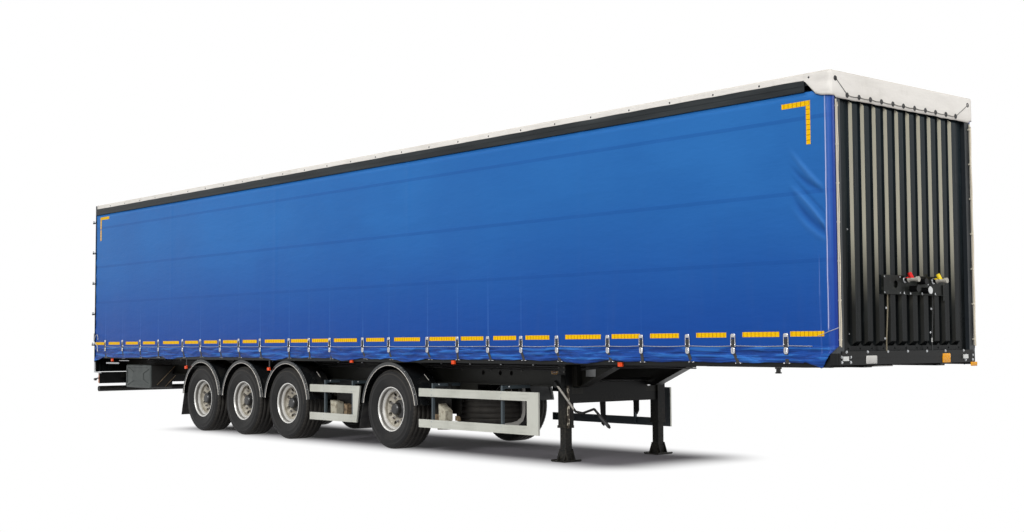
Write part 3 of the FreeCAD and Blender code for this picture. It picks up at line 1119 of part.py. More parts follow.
def rear_details():
    """Underrun bar on its stays with the lamp panel, tail lamps and lamp stalks."""
    x = REAR + UNDERRUN_AHEAD
    tube = bar((x, -UNDERRUN_HALF, UNDERRUN_Z), (x, UNDERRUN_HALF, UNDERRUN_Z), UNDERRUN_RADIUS)
    stay = plate_xz([(PORTAL_FRONT, BEAM_BOTTOM), (PORTAL_FRONT + 160.0, BEAM_BOTTOM),
                     (x + 40.0, UNDERRUN_Z), (x - 30.0, UNDERRUN_Z), (x - 30.0, LAMP_TOP),
                     (PORTAL_FRONT, LAMP_TOP)], BEAM_Y - 6.0, BEAM_Y + 6.0)
    panel = box(x - 30.0, x - 22.0, -LAMP_OUT, LAMP_OUT, LAMP_BOTTOM, LAMP_TOP)
    bend = box(x - 30.0, x, -LAMP_OUT, LAMP_OUT, LAMP_TOP - 8.0, LAMP_TOP)
    keep("underrun_bar", joined([tube, panel, bend] + both_sides(stay)))
    face = x - 30.0
    lamp = box(face - LAMP_DEPTH, face, LAMP_OUT - LAMP_LENGTH, LAMP_OUT, LAMP_BOTTOM + 10.0, LAMP_TOP - 10.0)
    lamp = lamp.makeFillet(12.0, [e for e in lamp.Edges if abs(e.BoundBox.XMax - face + LAMP_DEPTH) < 0.01])
    middle = (LAMP_BOTTOM + LAMP_TOP) / 2
    stalk = bar((face - 20.0, LAMP_OUT - 2.0, middle), (face - 55.0, LAMP_OUT + 45.0, middle - 25.0),
                STALK_RADIUS)
    eye = bar((face - 78.0, LAMP_OUT + 52.0, middle - 28.0), (face - 30.0, LAMP_OUT + 52.0, middle - 28.0),
              STALK_RADIUS * 1.7)
    keep("tail_lamps", both_sides(joined([lamp, stalk, eye])))


def marker_lamps():
    """Amber side markers under the curtain hem and white front markers on the bolster."""
    length, depth, height = MARKER
    lamps = []
    for distance, z in MARKERS:
        x = FRONT - distance
        low, high = z - height / 2, z + height / 2
        lamp = box(x - length / 2, x + length / 2, RAIL_OUT, RAIL_OUT + depth, low, high)
        if low < RAIL_UNDER:
            strip = box(x - 15.0, x + 15.0, RAIL_OUT - 4.0, RAIL_OUT, low, RAIL_UNDER)
            lamp = joined([lamp, strip])
        lamps += both_sides(lamp)
    length, depth, height = FRONT_LAMP
    for y in FRONT_LAMPS:
        lamps.append(box(FRONT + 4.0, FRONT + 4.0 + depth, y - length / 2, y + length / 2,
                         FRONT_LAMP_Z - height / 2, FRONT_LAMP_Z + height / 2))
    keep("marker_lamps", lamps)


chassis()
coupling()
front_end()
service_panel()
roof()
curtains()
rear_end()
running_gear()
mudguards()
landing_gear()
side_guards()
storage_box()
air_tanks()
spare()
rear_details()
marker_lamps()

os.makedirs("parts", exist_ok=True)
for name, shape in NODES.items():
    shape.exportStep("parts/%s.step" % name)
print(len(NODES), "nodes")
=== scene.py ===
"""Curtain-sided semi trailer: every surface finished in the order in which the trailer is put together."""
import json
import math

import bpy
import numpy as np
from mathutils import Matrix, Vector


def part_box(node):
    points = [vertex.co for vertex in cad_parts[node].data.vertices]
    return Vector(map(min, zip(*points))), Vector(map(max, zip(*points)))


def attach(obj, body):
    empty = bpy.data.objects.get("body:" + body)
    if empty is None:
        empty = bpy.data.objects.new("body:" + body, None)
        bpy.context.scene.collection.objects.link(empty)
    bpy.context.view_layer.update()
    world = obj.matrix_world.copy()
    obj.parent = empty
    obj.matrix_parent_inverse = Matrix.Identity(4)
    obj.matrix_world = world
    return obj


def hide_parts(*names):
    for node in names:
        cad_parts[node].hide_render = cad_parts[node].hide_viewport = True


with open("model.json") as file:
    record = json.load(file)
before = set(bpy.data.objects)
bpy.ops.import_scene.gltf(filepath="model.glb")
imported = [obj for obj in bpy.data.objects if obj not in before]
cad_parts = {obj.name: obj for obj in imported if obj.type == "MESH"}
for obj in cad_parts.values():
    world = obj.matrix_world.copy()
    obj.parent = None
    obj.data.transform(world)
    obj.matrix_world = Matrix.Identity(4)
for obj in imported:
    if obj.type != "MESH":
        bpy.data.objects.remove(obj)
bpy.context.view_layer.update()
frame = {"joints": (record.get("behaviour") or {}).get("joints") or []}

# ======================================================================= chassis
# Welded steel: two I-beams with cross members through their webs, axles on trailing arms, legs and bars.
# The whole frame is shot-blasted and painted satin black after welding. Road dust lies on the low parts.
BEAM_WEB_Y = 0.654
PAINT_BLACK = (0.0080, 0.0084, 0.0084)
ROAD_DUST = (0.070, 0.062, 0.048)


def maths(operation, swapped=False):
    """Method of a wire that adds one Math node for itself and what it is given."""
    def method(self, *others):
        values = (self, *others)
        values = values[::-1] if swapped else values
        return self.node("ShaderNodeMath", enumerate(values), operation=operation)
    return method


class Wire:
    """One socket of a shader tree. Operators and methods on it add nodes and give the new socket."""

    __add__ = __radd__ = maths("ADD")
    __sub__ = maths("SUBTRACT")
    __rsub__ = maths("SUBTRACT", swapped=True)
    __mul__ = __rmul__ = maths("MULTIPLY")
    __truediv__ = maths("DIVIDE")
    __gt__ = maths("GREATER_THAN")
    __lt__ = maths("LESS_THAN")
    __abs__ = maths("ABSOLUTE")
    sine = maths("SINE")
    root = maths("SQRT")
    fraction = maths("FRACT")
    larger = maths("MAXIMUM")

    def __init__(self, tree, socket=None):
        self.tree = tree
        self.socket = socket

    def plug(self, value, socket):
        """Link a wire to a socket, or set a fixed value; a colour gets its alpha."""
        if isinstance(value, Wire):
            self.tree.links.new(value.socket, socket)
        else:
            socket.default_value = (*value, 1) if socket.type == "RGBA" else value

    def node(self, kind, sockets=(), out=0, **settings):
        """Add a node of a kind, with values or links for its sockets by name or place, and settings."""
        made = self.tree.nodes.new(kind)
        for name, value in settings.items():
            setattr(made, name, value)
        for name, value in dict(sockets).items():
            self.plug(value, made.inputs[name])
        return Wire(self.tree, made.outputs[out])

    def span(self, low, high):
        """0 below low, 1 above high, smooth between."""
        return self.node("ShaderNodeMapRange", {"Value": self, "From Min": low, "From Max": high},
                         interpolation_type="SMOOTHSTEP")

    def band(self, rise, full, fade, end):
        """0, up to 1 between rise and full, and down to 0 again between fade and end."""
        return self.span(rise, full) * (1 - self.span(fade, end))

    def tint(self, a, b):
        """Colour a where this is 0, colour b where it is 1."""
        return self.node("ShaderNodeMix", {0: self, 6: a, 7: b}, 2, data_type="RGBA")

    def noise(self, scale, detail=3.0, stretch=(1, 1, 1)):
        """Cloud pattern, or cells, on object coordinates: scale in cycles per metre, stretched by axis."""
        place = self.node("ShaderNodeTexCoord", out=3)
        place = self.node("ShaderNodeMapping", {"Vector": place, "Scale": stretch})
        if detail == "cells":
            return self.node("ShaderNodeTexVoronoi", {"Vector": place, "Scale": scale})
        return self.node("ShaderNodeTexNoise", {"Vector": place, "Scale": scale, "Detail": detail})

    def axis(self, index):
        """X, Y or Z of the object coordinates, in metres."""
        return self.node("ShaderNodeSeparateXYZ", {0: self.node("ShaderNodeTexCoord", out=3)}, index)

    x = property(lambda self: self.axis(0))
    y = property(lambda self: self.axis(1))
    z = property(lambda self: self.axis(2))

    def finish(self, colour, roughness, height=None, depth=0.001, **others):
        """Set the surface shader: colour, roughness, a bump height with its depth, and others by name."""
        if height is not None:
            others["Normal"] = self.node("ShaderNodeBump", {"Height": height, "Distance": depth})
        for name, value in {"Base Color": colour, "Roughness": roughness, **others}.items():
            self.plug(value, self.tree.nodes["Principled BSDF"].inputs[name.replace("_", " ")])
        return self.material


def paint(name):
    material = bpy.data.materials.new(name)
    material.use_nodes = True
    wire = Wire(material.node_tree)
    wire.material = material
    return wire


def mottled(name, cloud, limits, dark, pale, roughness, grain, depth, **others):
    """Material between two colours, mixed by one cloud pattern, with a fine grain in its surface."""
    w = paint(name)
    spots = w.noise(*cloud)
    return w.finish((spots.span(*limits) if limits else spots).tint(dark, pale), roughness, w.noise(grain),
                    depth, **others)


def dress(material, *nodes):
    """Give carried nodes one material all over."""
    for name in nodes:
        mesh = bpy.data.objects[name].data
        mesh.materials.clear()
        mesh.materials.append(material)


w = paint("chassis_paint_black")
dust = (w.noise(1.6, 6.0) * w.noise(38.0, 2.0) * (1 - w.z.span(0.35, 1.25))).span(0.12, 0.62)
aside = abs(w.y)
web = (aside > 0.55) * (aside < 0.76) * (w.z > 0.80) * (w.z < 1.13)
tone = web.tint(PAINT_BLACK, (0.024, 0.024, 0.020))
crank_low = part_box("landing_drive")[0]
# painted highlight: a broken pale streak along the crank rod's outer edge stands in for the light the rod
# catches
rod_edge = (w.y < crank_low[1] + 0.013) * (w.x > 3.9) * (w.x < 4.37)
rod_highlight = rod_edge * (w.z < 0.90) * w.noise(30.0, 2.0).span(0.25, 0.45)
tone = dust.tint(rod_highlight.tint(tone, (0.42, 0.40, 0.36)), ROAD_DUST)
black = w.finish(tone, dust * 0.35 + 0.36, w.noise(420.0, 2.0), 0.0004, Specular_IOR_Level=0.16)
dress(black, "main_beams", "cross_members", "side_rails", "suspension_arms", "axle_1", "axle_2", "axle_3",
      "axle_4", "landing_legs", "landing_drive", "spare_cradle", "underrun_bar", "front_bolster", "air_tanks")

w = paint("machined_steel_greased")
grease = w.noise(9.0, 5.0).span(0.42, 0.66)
dress(w.finish(grease.tint((0.36, 0.35, 0.34), (0.05, 0.042, 0.03)), 0.32 + grease * 0.3,
               w.noise(60.0, 4.0, (1, 14, 1)), 0.0003, Metallic=0.9), "coupling_plate")
dress(mottled("greased_kingpin", (40.0,), None, (0.012, 0.011, 0.009), (0.05, 0.045, 0.035), 0.3, 90.0,
              0.0004), "kingpin")

w = paint("zinc_coated_steel")
crystals = w.noise(130.0, "cells")
zinc = w.finish(crystals.span(0.0, 0.9).tint((0.34, 0.35, 0.36), (0.56, 0.57, 0.58)), crystals * 0.12 + 0.36,
                w.noise(300.0), 0.0002, Metallic=0.85)
w = paint("black_rubber_matt")
bloom = w.noise(11.0, 5.0).span(0.35, 0.75)
rubber = w.finish(bloom.tint((0.014, 0.014, 0.015), (0.045, 0.043, 0.04)), 0.62 + bloom * 0.2,
                  w.noise(700.0, 2.0), 0.0003)
dress(rubber, "air_springs", "mud_flaps", "rear_buffers")

# ================================================================ tyres and wheels
# Wide single tyres, moulded rubber on a steel belt: four straight grooves, sipes and notched shoulders.
# Each sits on a pressed steel disc wheel with ten nuts round the hub. The spare lies flat under the frame.
AXLE_Z = 0.532
TREAD_STEPS = 180
GROOVES = np.array([-0.108, -0.040, 0.040, 0.108])
GROOVE_HALF = 0.0065
GROOVE_DEEP = 0.011
CROWN_HALF = 0.130
CROWN_RADIUS = 0.5318
CROWN_DROP = 0.0022
SIPE_SWAY = 0.0022
NOTCH_DEEP = 0.0065
NUTS = 10
NUT_CIRCLE = 0.1675
NUT_FACE_Y = 0.0195
# radius and half width of the tyre's outline, from the bead to the shoulder
SIDEWALL = np.array([(0.2868, 0.1470), (0.3000, 0.1585), (0.3085, 0.1635), (0.3200, 0.1655), (0.3230, 0.1700),
                     (0.3300, 0.1710), (0.3600, 0.1820), (0.3850, 0.1885), (0.4100, 0.1920), (0.4130, 0.1932),
                     (0.4190, 0.1925), (0.4400, 0.1905), (0.4650, 0.1860), (0.4680, 0.1880), (0.4740, 0.1865),
                     (0.4900, 0.1800), (0.5080, 0.1710), (0.5120, 0.1690), (0.5200, 0.1610), (0.527, 0.147)])


def together(forms):
    """One form from several; a form is a point array and its faces."""
    points, faces, start = [], [], 0
    for corners, sides in forms:
        points.append(np.asarray(corners, float).reshape(-1, 3))
        sides = sides.tolist() if isinstance(sides, np.ndarray) else sides
        faces += [[corner + start for corner in side] for side in sides]
        start += len(points[-1])
    return np.concatenate(points), faces


def solid(name, form, material, body="root", smooth=True):
    """Mesh object from a form or a list of forms, riding a body."""
    points, faces = together(form if isinstance(form, list) else [form])
    mesh = bpy.data.meshes.new(name)
    mesh.from_pydata(points.tolist(), [], faces)
    mesh.polygons.foreach_set("use_smooth", np.full(len(mesh.polygons), smooth))
    mesh.materials.append(material)
    piece = bpy.data.objects.new(name, mesh)
    bpy.context.collection.objects.link(piece)
    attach(piece, body)
    return piece


def run_of(*coordinates):
    """Points from their x, y and z, each an array or one number for all."""
    return np.stack(np.broadcast_arrays(*coordinates), -1)


def lattice(rows, columns, around=False, across=False):
    """Quads of a rows x columns grid of points; around closes the rows' ring, across the columns' ring."""
    i, j = np.meshgrid(np.arange(rows - (not around)), np.arange(columns - (not across)), indexing="ij")
    a, b = (i + 1) % rows, (j + 1) % columns
    return np.stack([i * columns + j, a * columns + j, a * columns + b, i * columns + b], -1).reshape(-1, 4)


def lathe(profile, sides=24):
    """Round form about +Z: each (radius, height) of the profile swept round, its two ends closed."""
    profile = np.asarray(profile, float)
    angle = np.linspace(0, 2 * math.pi, sides, endpoint=False)
    ring = np.stack([np.cos(angle), np.sin(angle)], -1)
    points = np.concatenate([profile[None, :, :1] * ring[:, None, :],
                             np.broadcast_to(profile[None, :, 1:], (sides, len(profile), 1))], -1)
    rim = np.arange(sides) * len(profile)
    ends = [(rim + len(profile) - 1).tolist(), rim[::-1].tolist()]
    return points.reshape(-1, 3), lattice(sides, len(profile), around=True).tolist() + ends


# turns that carry +Z onto a row axis
TURNS = {"+X": ((0, 0, 1), (0, 1, 0), (-1, 0, 0)), "-X": ((0, 0, -1), (0, 1, 0), (1, 0, 0)),
         "+Y": ((1, 0, 0), (0, 0, 1), (0, -1, 0)), "-Y": ((1, 0, 0), (0, 0, -1), (0, 1, 0)),
         "+Z": ((1, 0, 0), (0, 1, 0), (0, 0, 1))}


def repeat(form, places, axis):
    """Copies of a small form, one at each place, its +Z turned to an axis; "Y" is away from the middle."""
    points, faces = form
    places = np.asarray(places, float)
    sides = ["-Y" if y < 0 else "+Y" for y in places[:, 1]]
    turns = np.array([TURNS[side if axis == "Y" else axis] for side in sides], float)
    every = np.einsum("kij,nj->kni", turns, points) + places[:, None, :]
    return together([(part, faces) for part in every])


def tyre_form(centre, flat):
    """Ring over (angle, outline): radius from the outline, cut in by grooves, sipes and shoulder notches."""
    lip = np.array([-GROOVE_HALF - 0.002, -GROOVE_HALF + 0.002, GROOVE_HALF - 0.002, GROOVE_HALF + 0.002])
    crown = np.concatenate([[-CROWN_HALF], (GROOVES[:, None] + lip).ravel(), [CROWN_HALF]])
    floor = np.abs(crown[:, None] - GROOVES).min(1) < GROOVE_HALF
    crown_radius = CROWN_RADIUS - CROWN_DROP * (np.abs(crown) / CROWN_HALF) ** 2 - GROOVE_DEEP * floor
    radius = np.concatenate([SIDEWALL[:, 0], crown_radius[::-1], SIDEWALL[::-1, 0]])
    along = np.concatenate([SIDEWALL[:, 1], crown[::-1], -SIDEWALL[::-1, 1]])
    step = np.arange(TREAD_STEPS)
    angle = step * 2 * math.pi / TREAD_STEPS
    shoulder = (radius > 0.509) & (np.abs(along) > 0.128)
    ring = radius - np.where((step % 3 == 0)[:, None] & shoulder, NOTCH_DEEP, 0.0)
    sway = np.where((radius > 0.51) & (np.abs(along) < 0.12), SIPE_SWAY, 0.0)
    along = along + sway * np.array([1, -1, 0])[step % 3][:, None]
    points = [np.cos(angle)[:, None] * ring, along, np.sin(angle)[:, None] * ring]
    faces = lattice(TREAD_STEPS, len(radius), around=True, across=True)
    if flat:
        return run_of(points[0], points[2], points[1]) + centre, faces
    return run_of(*points) + centre, faces[:, ::-1]


def from_centre(w, centre, flat):
    """Distance from a wheel's axis, and place above it, or to the left where it lies flat."""
    dx = w.x - centre[0]
    above = w.axis(1 if flat else 2) - centre[1 if flat else 2]
    return (dx * dx + above * above).root(), above


def tyre_rubber(name, centre, flat):
    """Rubber, dusty on the tread and in the grooves, blue-black and smoother on the sidewall, with a painted
    highlight arc near the shoulder on its upper half.
    """
    w = paint(name)
    radius = from_centre(w, centre, flat)[0]
    tread = radius.span(0.500, 0.524)
    dust = (w.noise(7.0, 6.0).span(0.35, 0.75) * 0.5 + tread * 0.5 + (radius < 0.5235) * tread * 0.3) * 0.8
    rings = (radius * 620.0).sine() * (radius.span(0.335, 0.345) - radius.span(0.375, 0.385)) * 0.4
    ribs = (radius * 2100.0).sine() * (radius.span(0.482, 0.486) - radius.span(0.505, 0.508)) * 0.25
    # painted highlight: a pale arc near the shoulder, upper half only, carried in the dust colour
    ring = (radius.span(0.462, 0.470) - radius.span(0.474, 0.486)) * 0.55
    lit_upper_half = w.axis(1 if flat else 2) > centre[1 if flat else 2]
    dust = (dust * (tread * 0.5 + 0.35)).larger(ring * lit_upper_half)
    return w.finish(dust.tint((0.0085, 0.0085, 0.0088), (0.070, 0.064, 0.055)), dust * 0.25 + 0.52,
                    rings + ribs + w.noise(260.0, 4.0) * 0.5, 0.0012, Specular_IOR_Level=0.20)


def wheel_paint(name, centre, flat):
    """Silver stoved paint; brake dust inside the disc, a dark hub and cap widened and shifted forward as
    painted shade, dust in the corners; painted shade rings in the rim and a painted highlight on its outer
    lip.
    """
    w = paint(name)
    radius, above = from_centre(w, centre, flat)
    # painted shade: the dark hub disc is drawn wider than the cap and shifted towards the front, for the
    # shade inside the wheel
    shade = w.x - centre[0] - 0.030
    hub = 1 - (shade * shade + above * above).root().span(0.118, 0.132)
    rim = radius.span(0.232, 0.250)
    grime = w.noise(16.0, 6.0).span(0.38, 0.72)
    silver = (grime * 0.30).tint((0.56, 0.55, 0.515), (0.22, 0.20, 0.17))
    # painted shade: dark rings in the rim's grooves and where the disc meets the barrel
    inside = (1 - radius.span(0.240, 0.252)) * rim
    lines = radius.band(0.268, 0.272, 0.277, 0.282) + inside
    silver = (lines * 0.75).tint(silver, (0.15, 0.145, 0.135))
    # painted highlight: the outer lip is painted pale
    silver = radius.span(0.284, 0.288).tint(silver, (0.80, 0.79, 0.75))
    silver = rim.tint(grime.tint((0.47, 0.44, 0.37), (0.30, 0.27, 0.21)), silver)
    return w.finish(hub.tint(silver, (0.009, 0.009, 0.0095)), grime * 0.2 + 0.32, w.noise(340.0, 2.0), 0.0003,
                    Metallic=rim * 0.35, Coat_Weight=0.15, Coat_Roughness=0.2)


w = paint("wheel_nut_steel")
rust = w.noise(60.0, 5.0).span(0.42, 0.65)
nut_steel = w.finish(rust.tint((0.33, 0.33, 0.33), (0.13, 0.085, 0.06)), rust * 0.3 + 0.38, w.noise(400.0),
                     0.0003, Metallic=0.7)
# a flange, a hexagon and the stud's thread end
nut = together([lathe([(0.0185, 0.0), (0.0185, 0.005), (0.0155, 0.007)], 12),
                lathe([(0.0158, 0.004), (0.0158, 0.022), (0.0135, 0.026)], 6),
                lathe([(0.0090, 0.024), (0.0090, 0.036), (0.0078, 0.038)], 10)])

spins = {joint["child"]: joint["pos_m"] for joint in frame["joints"] if joint["name"].endswith("_spin")}
AXLE_X = sorted({round(place[0], 3) for place in spins.values()})
wheels = [(body.replace("_body", "").replace("wheel_", ""), body, place, False)
          for body, place in spins.items()]
low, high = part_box("spare_tyre")
wheels.append(("spare", "root", [(a + b) / 2 for a, b in zip(low, high)], True))
for label, body, centre, flat in wheels:
    tyre_node, wheel_node = ("spare_tyre", "spare_wheel") if flat else ("tyre_" + label, "wheel_" + label)
    tread = solid("treaded_tyre_" + label, tyre_form(centre, flat),
                  tyre_rubber("tyre_rubber_" + label, centre, flat), body)
    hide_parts(tyre_node)
    dress(wheel_paint("silver_wheel_" + label, centre, flat), wheel_node)
    out = 1 if flat or centre[1] > 0 else -1
    turn = np.arange(NUTS) * 2 * math.pi / NUTS + 0.2
    ring = [NUT_CIRCLE * np.cos(turn), NUT_CIRCLE * np.sin(turn)]
    ring.insert(2 if flat else 1, out * NUT_FACE_Y)
    solid("wheel_nuts_" + label, repeat(nut, run_of(*ring) + centre, "+Z" if flat else "Y"), nut_steel,
          body, smooth=False)

# ==================================================== landing gear, boxes and lines on the frame
# Painted steel legs wound down by a folding crank with a plastic grip; a braided strap hangs at the leg.
# Nylon air lines and a cable conduit are clipped along the web of the right-hand beam.
leg_low, leg_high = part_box("landing_legs")
LEG_X = (leg_low[0] + leg_high[0]) / 2
LEG_FACE_Y = 0.865


def swept(path, width, thick=None, sides=8):
    """Tube or strip along a path (n, 3): an ellipse of half sizes width and thick, square to each run."""
    path = np.asarray(path, float)
    run = np.gradient(path, axis=0)
    run /= np.linalg.norm(run, axis=1)[:, None]
    side = np.cross(run, np.eye(3)[np.ptp(path, axis=0).argmin()])
    side /= np.linalg.norm(side, axis=1)[:, None]
    angle = np.linspace(0, 2 * math.pi, sides, endpoint=False)[None, :, None]
    points = (path[:, None] + side[:, None] * np.cos(angle) * width
              + np.cross(side, run)[:, None] * np.sin(angle) * (width if thick is None else thick))
    faces = lattice(len(path), sides, across=True)[:, ::-1].tolist()
    ends = [list(range(sides)), [(len(path) - 1) * sides + k for k in reversed(range(sides))]]
    return points.reshape(-1, 3), faces + ends


def slab(outline, y0, y1):
    """Plate between two depths: an outline of (x, z) corners carried along Y."""
    count = len(outline)
    faces = [list(range(count)), list(reversed(range(count, 2 * count)))]
    faces += [[(k + 1) % count, k, count + k, count + (k + 1) % count] for k in range(count)]
    return np.concatenate([np.insert(np.asarray(outline, float), 1, y, axis=1) for y in (y0, y1)]), faces


def bolt(radius, height):
    """Hexagon head on a round washer, its foot at the origin, pointing along +Z."""
    washer = lathe([(radius * 1.3, 0), (radius * 1.3, height * 0.2), (radius, height * 0.25)], 12)
    head = lathe([(radius, height * 0.2), (radius, height * 0.9), (radius * 0.85, height)], 6)
    return together([washer, head])


strap = mottled("braided_leg_strap", (34.0, 4.0, (1, 1, 0.8)), (0.56, 0.60), (0.035, 0.026, 0.018),
                (0.55, 0.50, 0.40), 0.6, 300.0, 0.0006)
z = np.linspace(0.40, 0.90, 14)
x = LEG_X + 0.086 + 0.006 * np.sin((z - 0.40) * math.pi / 0.5)
solid("leg_strap", swept(run_of(x, -0.845, z), 0.021, 0.0025, 4), strap, smooth=False)
w = paint("black_hook_plate")
hook_steel = w.finish((0.008, 0.008, 0.008), 0.5, w.noise(200.0), 0.0003, Specular_IOR_Level=0.2)
plates = [slab(((x0, 0.70), (x1, 0.70), (x1, z_low + 0.05), (x1 - 0.03, z_low), (x0 + 0.03, z_low + 0.03)),
               y - 0.004, y + 0.004)
          for x0, x1, y, z_low in ((3.520, 3.625, 0.30, 0.35), (3.800, 3.905, 0.62, 0.50))]
solid("tie_hook_plates", plates, hook_steel, smooth=False)

w = paint("crank_grip_plastic")
grip_plastic = w.finish((0.02, 0.02, 0.021), 0.5, (w.x * 700.0).sine(), 0.0012)
crank_y = crank_low[1] + 0.014
grip_path = np.linspace([LEG_X + 0.735, crank_y, 0.573], [LEG_X + 0.876, crank_y, 0.457], 9)
solid("crank_grip", swept(grip_path, 0.0205, sides=14), grip_plastic)


def bolts(name, radius, height, places, axis, material=zinc, body="root"):
    """Flat-shaded bolt heads of one size as one piece."""
    solid(name, repeat(bolt(radius, height), places, axis), material, body, smooth=False)


dull_zinc = mottled("dull_zinc_bolt_heads", (60.0, 3.0), (0.3, 0.8), (0.030, 0.031, 0.031),
                    (0.16, 0.155, 0.14), 0.5, 400.0, 0.0002, Metallic=0.3)
places = []
for side in (1, -1):
    for x in np.concatenate([np.linspace(-7.6, 3.7, 20), np.linspace(4.9, 7.9, 7)]):
        places += [(x, side * BEAM_WEB_Y, z) for z in ((1.065, 1.205) if x < 4.5 else (1.205,))]
    places += [(LEG_X + dx, side * LEG_FACE_Y, z)
               for z in (0.955, 1.01, 1.065, 1.12) for dx in (-0.045, 0.045)]
    places += [(axle + dx, side * 0.705, z) for axle in AXLE_X
               for dx, z in ((0.44, 0.80), (0.56, 0.80), (0.47, 0.72), (0.53, 0.72))]
bolts("frame_bolts", 0.011, 0.010, places, "Y", dull_zinc)

w = paint("air_line_nylon")
conduit = w.finish((0.02, 0.02, 0.022), 0.42, (w.x * 900.0).sine(), 0.001)
x = np.linspace(-7.3, 6.0, 340)
lines = []
for z, radius, phase in ((1.128, 0.0105, 0.3), (1.100, 0.0075, 1.1), (1.082, 0.0075, 2.0)):
    droop = 0.006 * np.abs(np.sin(x * 3.1 + phase)) + 0.003 * np.sin(x * 1.3 + phase)
    depth = -BEAM_WEB_Y - radius - 0.004 - 0.002 * np.sin(x * 2.2 + phase)
    rise = 0.05 / (1 + np.exp(-(x - 4.4) * 6))
    lines.append(swept(run_of(x, depth, z - droop + rise), radius, sides=7))
solid("frame_air_lines", lines, conduit)
places = [(x, -BEAM_WEB_Y, 1.14 if x < 4.3 else 1.19) for x in np.arange(-7.2, 6.0, 0.62)]
solid("air_line_clips", repeat(lathe([(0.012, 0), (0.012, 0.02), (0.008, 0.024)], 8), places, "-Y"), zinc,
      smooth=False)

w = paint("storage_box_plastic")
chalk = w.noise(4.0, 5.0).span(0.4, 0.8)
# painted shade: every face of the box behind its lid face, top and ends included, is painted near black
unshaded_lid = 1 - w.y.span(-1.122, -1.112)
dress(w.finish(unshaded_lid.tint((0.016, 0.0155, 0.014), chalk.tint((0.040, 0.048, 0.045), (0.100, 0.110, 0.104))),
               0.55 + chalk * 0.15, w.noise(900.0, 2.0) * 0.6, 0.0004), "storage_box")
tan_paint = mottled("weathered_tan_steel", (24.0, 5.0), (0.4, 0.7), (0.30, 0.215, 0.125),
                    (0.10, 0.072, 0.045), 0.6, 200.0, 0.0003)
strut_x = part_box("storage_box")[1][0] + 0.006
struts = [swept(np.linspace((strut_x, *start), (strut_x, *end), 6), 0.005, 0.009, 6)
          for start, end in (((-1.021, 0.702), (-0.681, 1.029)), ((-0.862, 0.674), (-0.668, 0.863)))]
solid("storage_box_struts", struts, tan_paint)

# ======================================================== mudguards, flaps and side guards
# Blow-moulded black plastic guards with a pale piping pressed over the outer edge, bolted to tube stays.
# The side guards are extruded aluminium planks riveted to wide uprights.
GUARD_ARC = 0.5865
GUARD_BOLT_ARC = 0.626
PLANK_FACE_Y = 1.2005
w = paint("mudguard_plastic")
far_side = w.y > 0.0
splash = w.noise(6.0, 6.0).span(0.45, 0.75) * (1 - w.z.span(0.62, 1.15))
splash = splash * (abs(w.y) < 1.15) * (1 - (w.y > 0.0) * 0.8)
dress(w.finish(splash.tint((0.0085, 0.010, 0.0115), (0.06, 0.055, 0.046)),
               splash * 0.3 + far_side * 0.34 + 0.26, w.noise(150.0, 3.0), 0.0004,
               Coat_Weight=(w.y < 0.0) * 0.25, Coat_Roughness=0.2), "mudguards")
piping = mottled("pale_edge_piping", (14.0, 4.0), (0.35, 0.8), (0.80, 0.76, 0.69), (0.50, 0.47, 0.41), 0.5,
                 400.0, 0.0003)
# painted highlight: thin lips round the front half of each guard's outer edge stand for the light on its
# rolled rim, paler grey low down and dark blue-grey higher up; the same grey is the real colour of the
# spare's sling strap
w = paint("mudguard_lip_grey")
lip_highlight_and_sling_grey = w.finish(w.z.span(0.75, 1.15).tint((0.36, 0.35, 0.32), (0.05, 0.07, 0.085)), 0.4, w.noise(300.0),
                    0.0003)
guard_low, guard_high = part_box("mudguards")
lip_radius = guard_high[2] - AXLE_Z - 0.001
first = math.asin((guard_low[2] - AXLE_Z) / GUARD_ARC) + 0.004


def guard_arc(axle, y, radius, turn):
    """Points of an arc round an axle at angles turn, counted up and over from the front."""
    return run_of(axle + radius * np.cos(turn), y, AXLE_Z + radius * np.sin(turn))


edges, highlight_lips, stays, places = [], [], [], []
for axle, side in [(axle, side) for axle in AXLE_X for side in (1, -1)]:
    whole = np.linspace(first, math.pi - first, 61)
    edges.append(swept(guard_arc(axle, side * (guard_high[1] + 0.0005), GUARD_ARC, whole), 0.0045))
    over = np.linspace(first, math.pi / 2 + 0.2, 40)
    highlight_lips.append(swept(guard_arc(axle, side * (guard_high[1] - 0.014), lip_radius, over), 0.0035, sides=6))
    stays += [swept(np.linspace((axle + lead, side, 1.003), (axle + lead + 0.097, side, 0.927), 5), 0.0045,
                    sides=6) for lead in (0.273, 0.500)]
    places += [*guard_arc(axle, side * 1.219, GUARD_BOLT_ARC, np.array([0.35, 0.50, 0.95, 1.10]))]
solid("mudguard_piping", edges, piping)
solid("mudguard_lips", highlight_lips, lip_highlight_and_sling_grey)
solid("mudguard_stay_rods", stays, piping)
bolts("mudguard_bolts", 0.0055, 0.006, places, "Y")

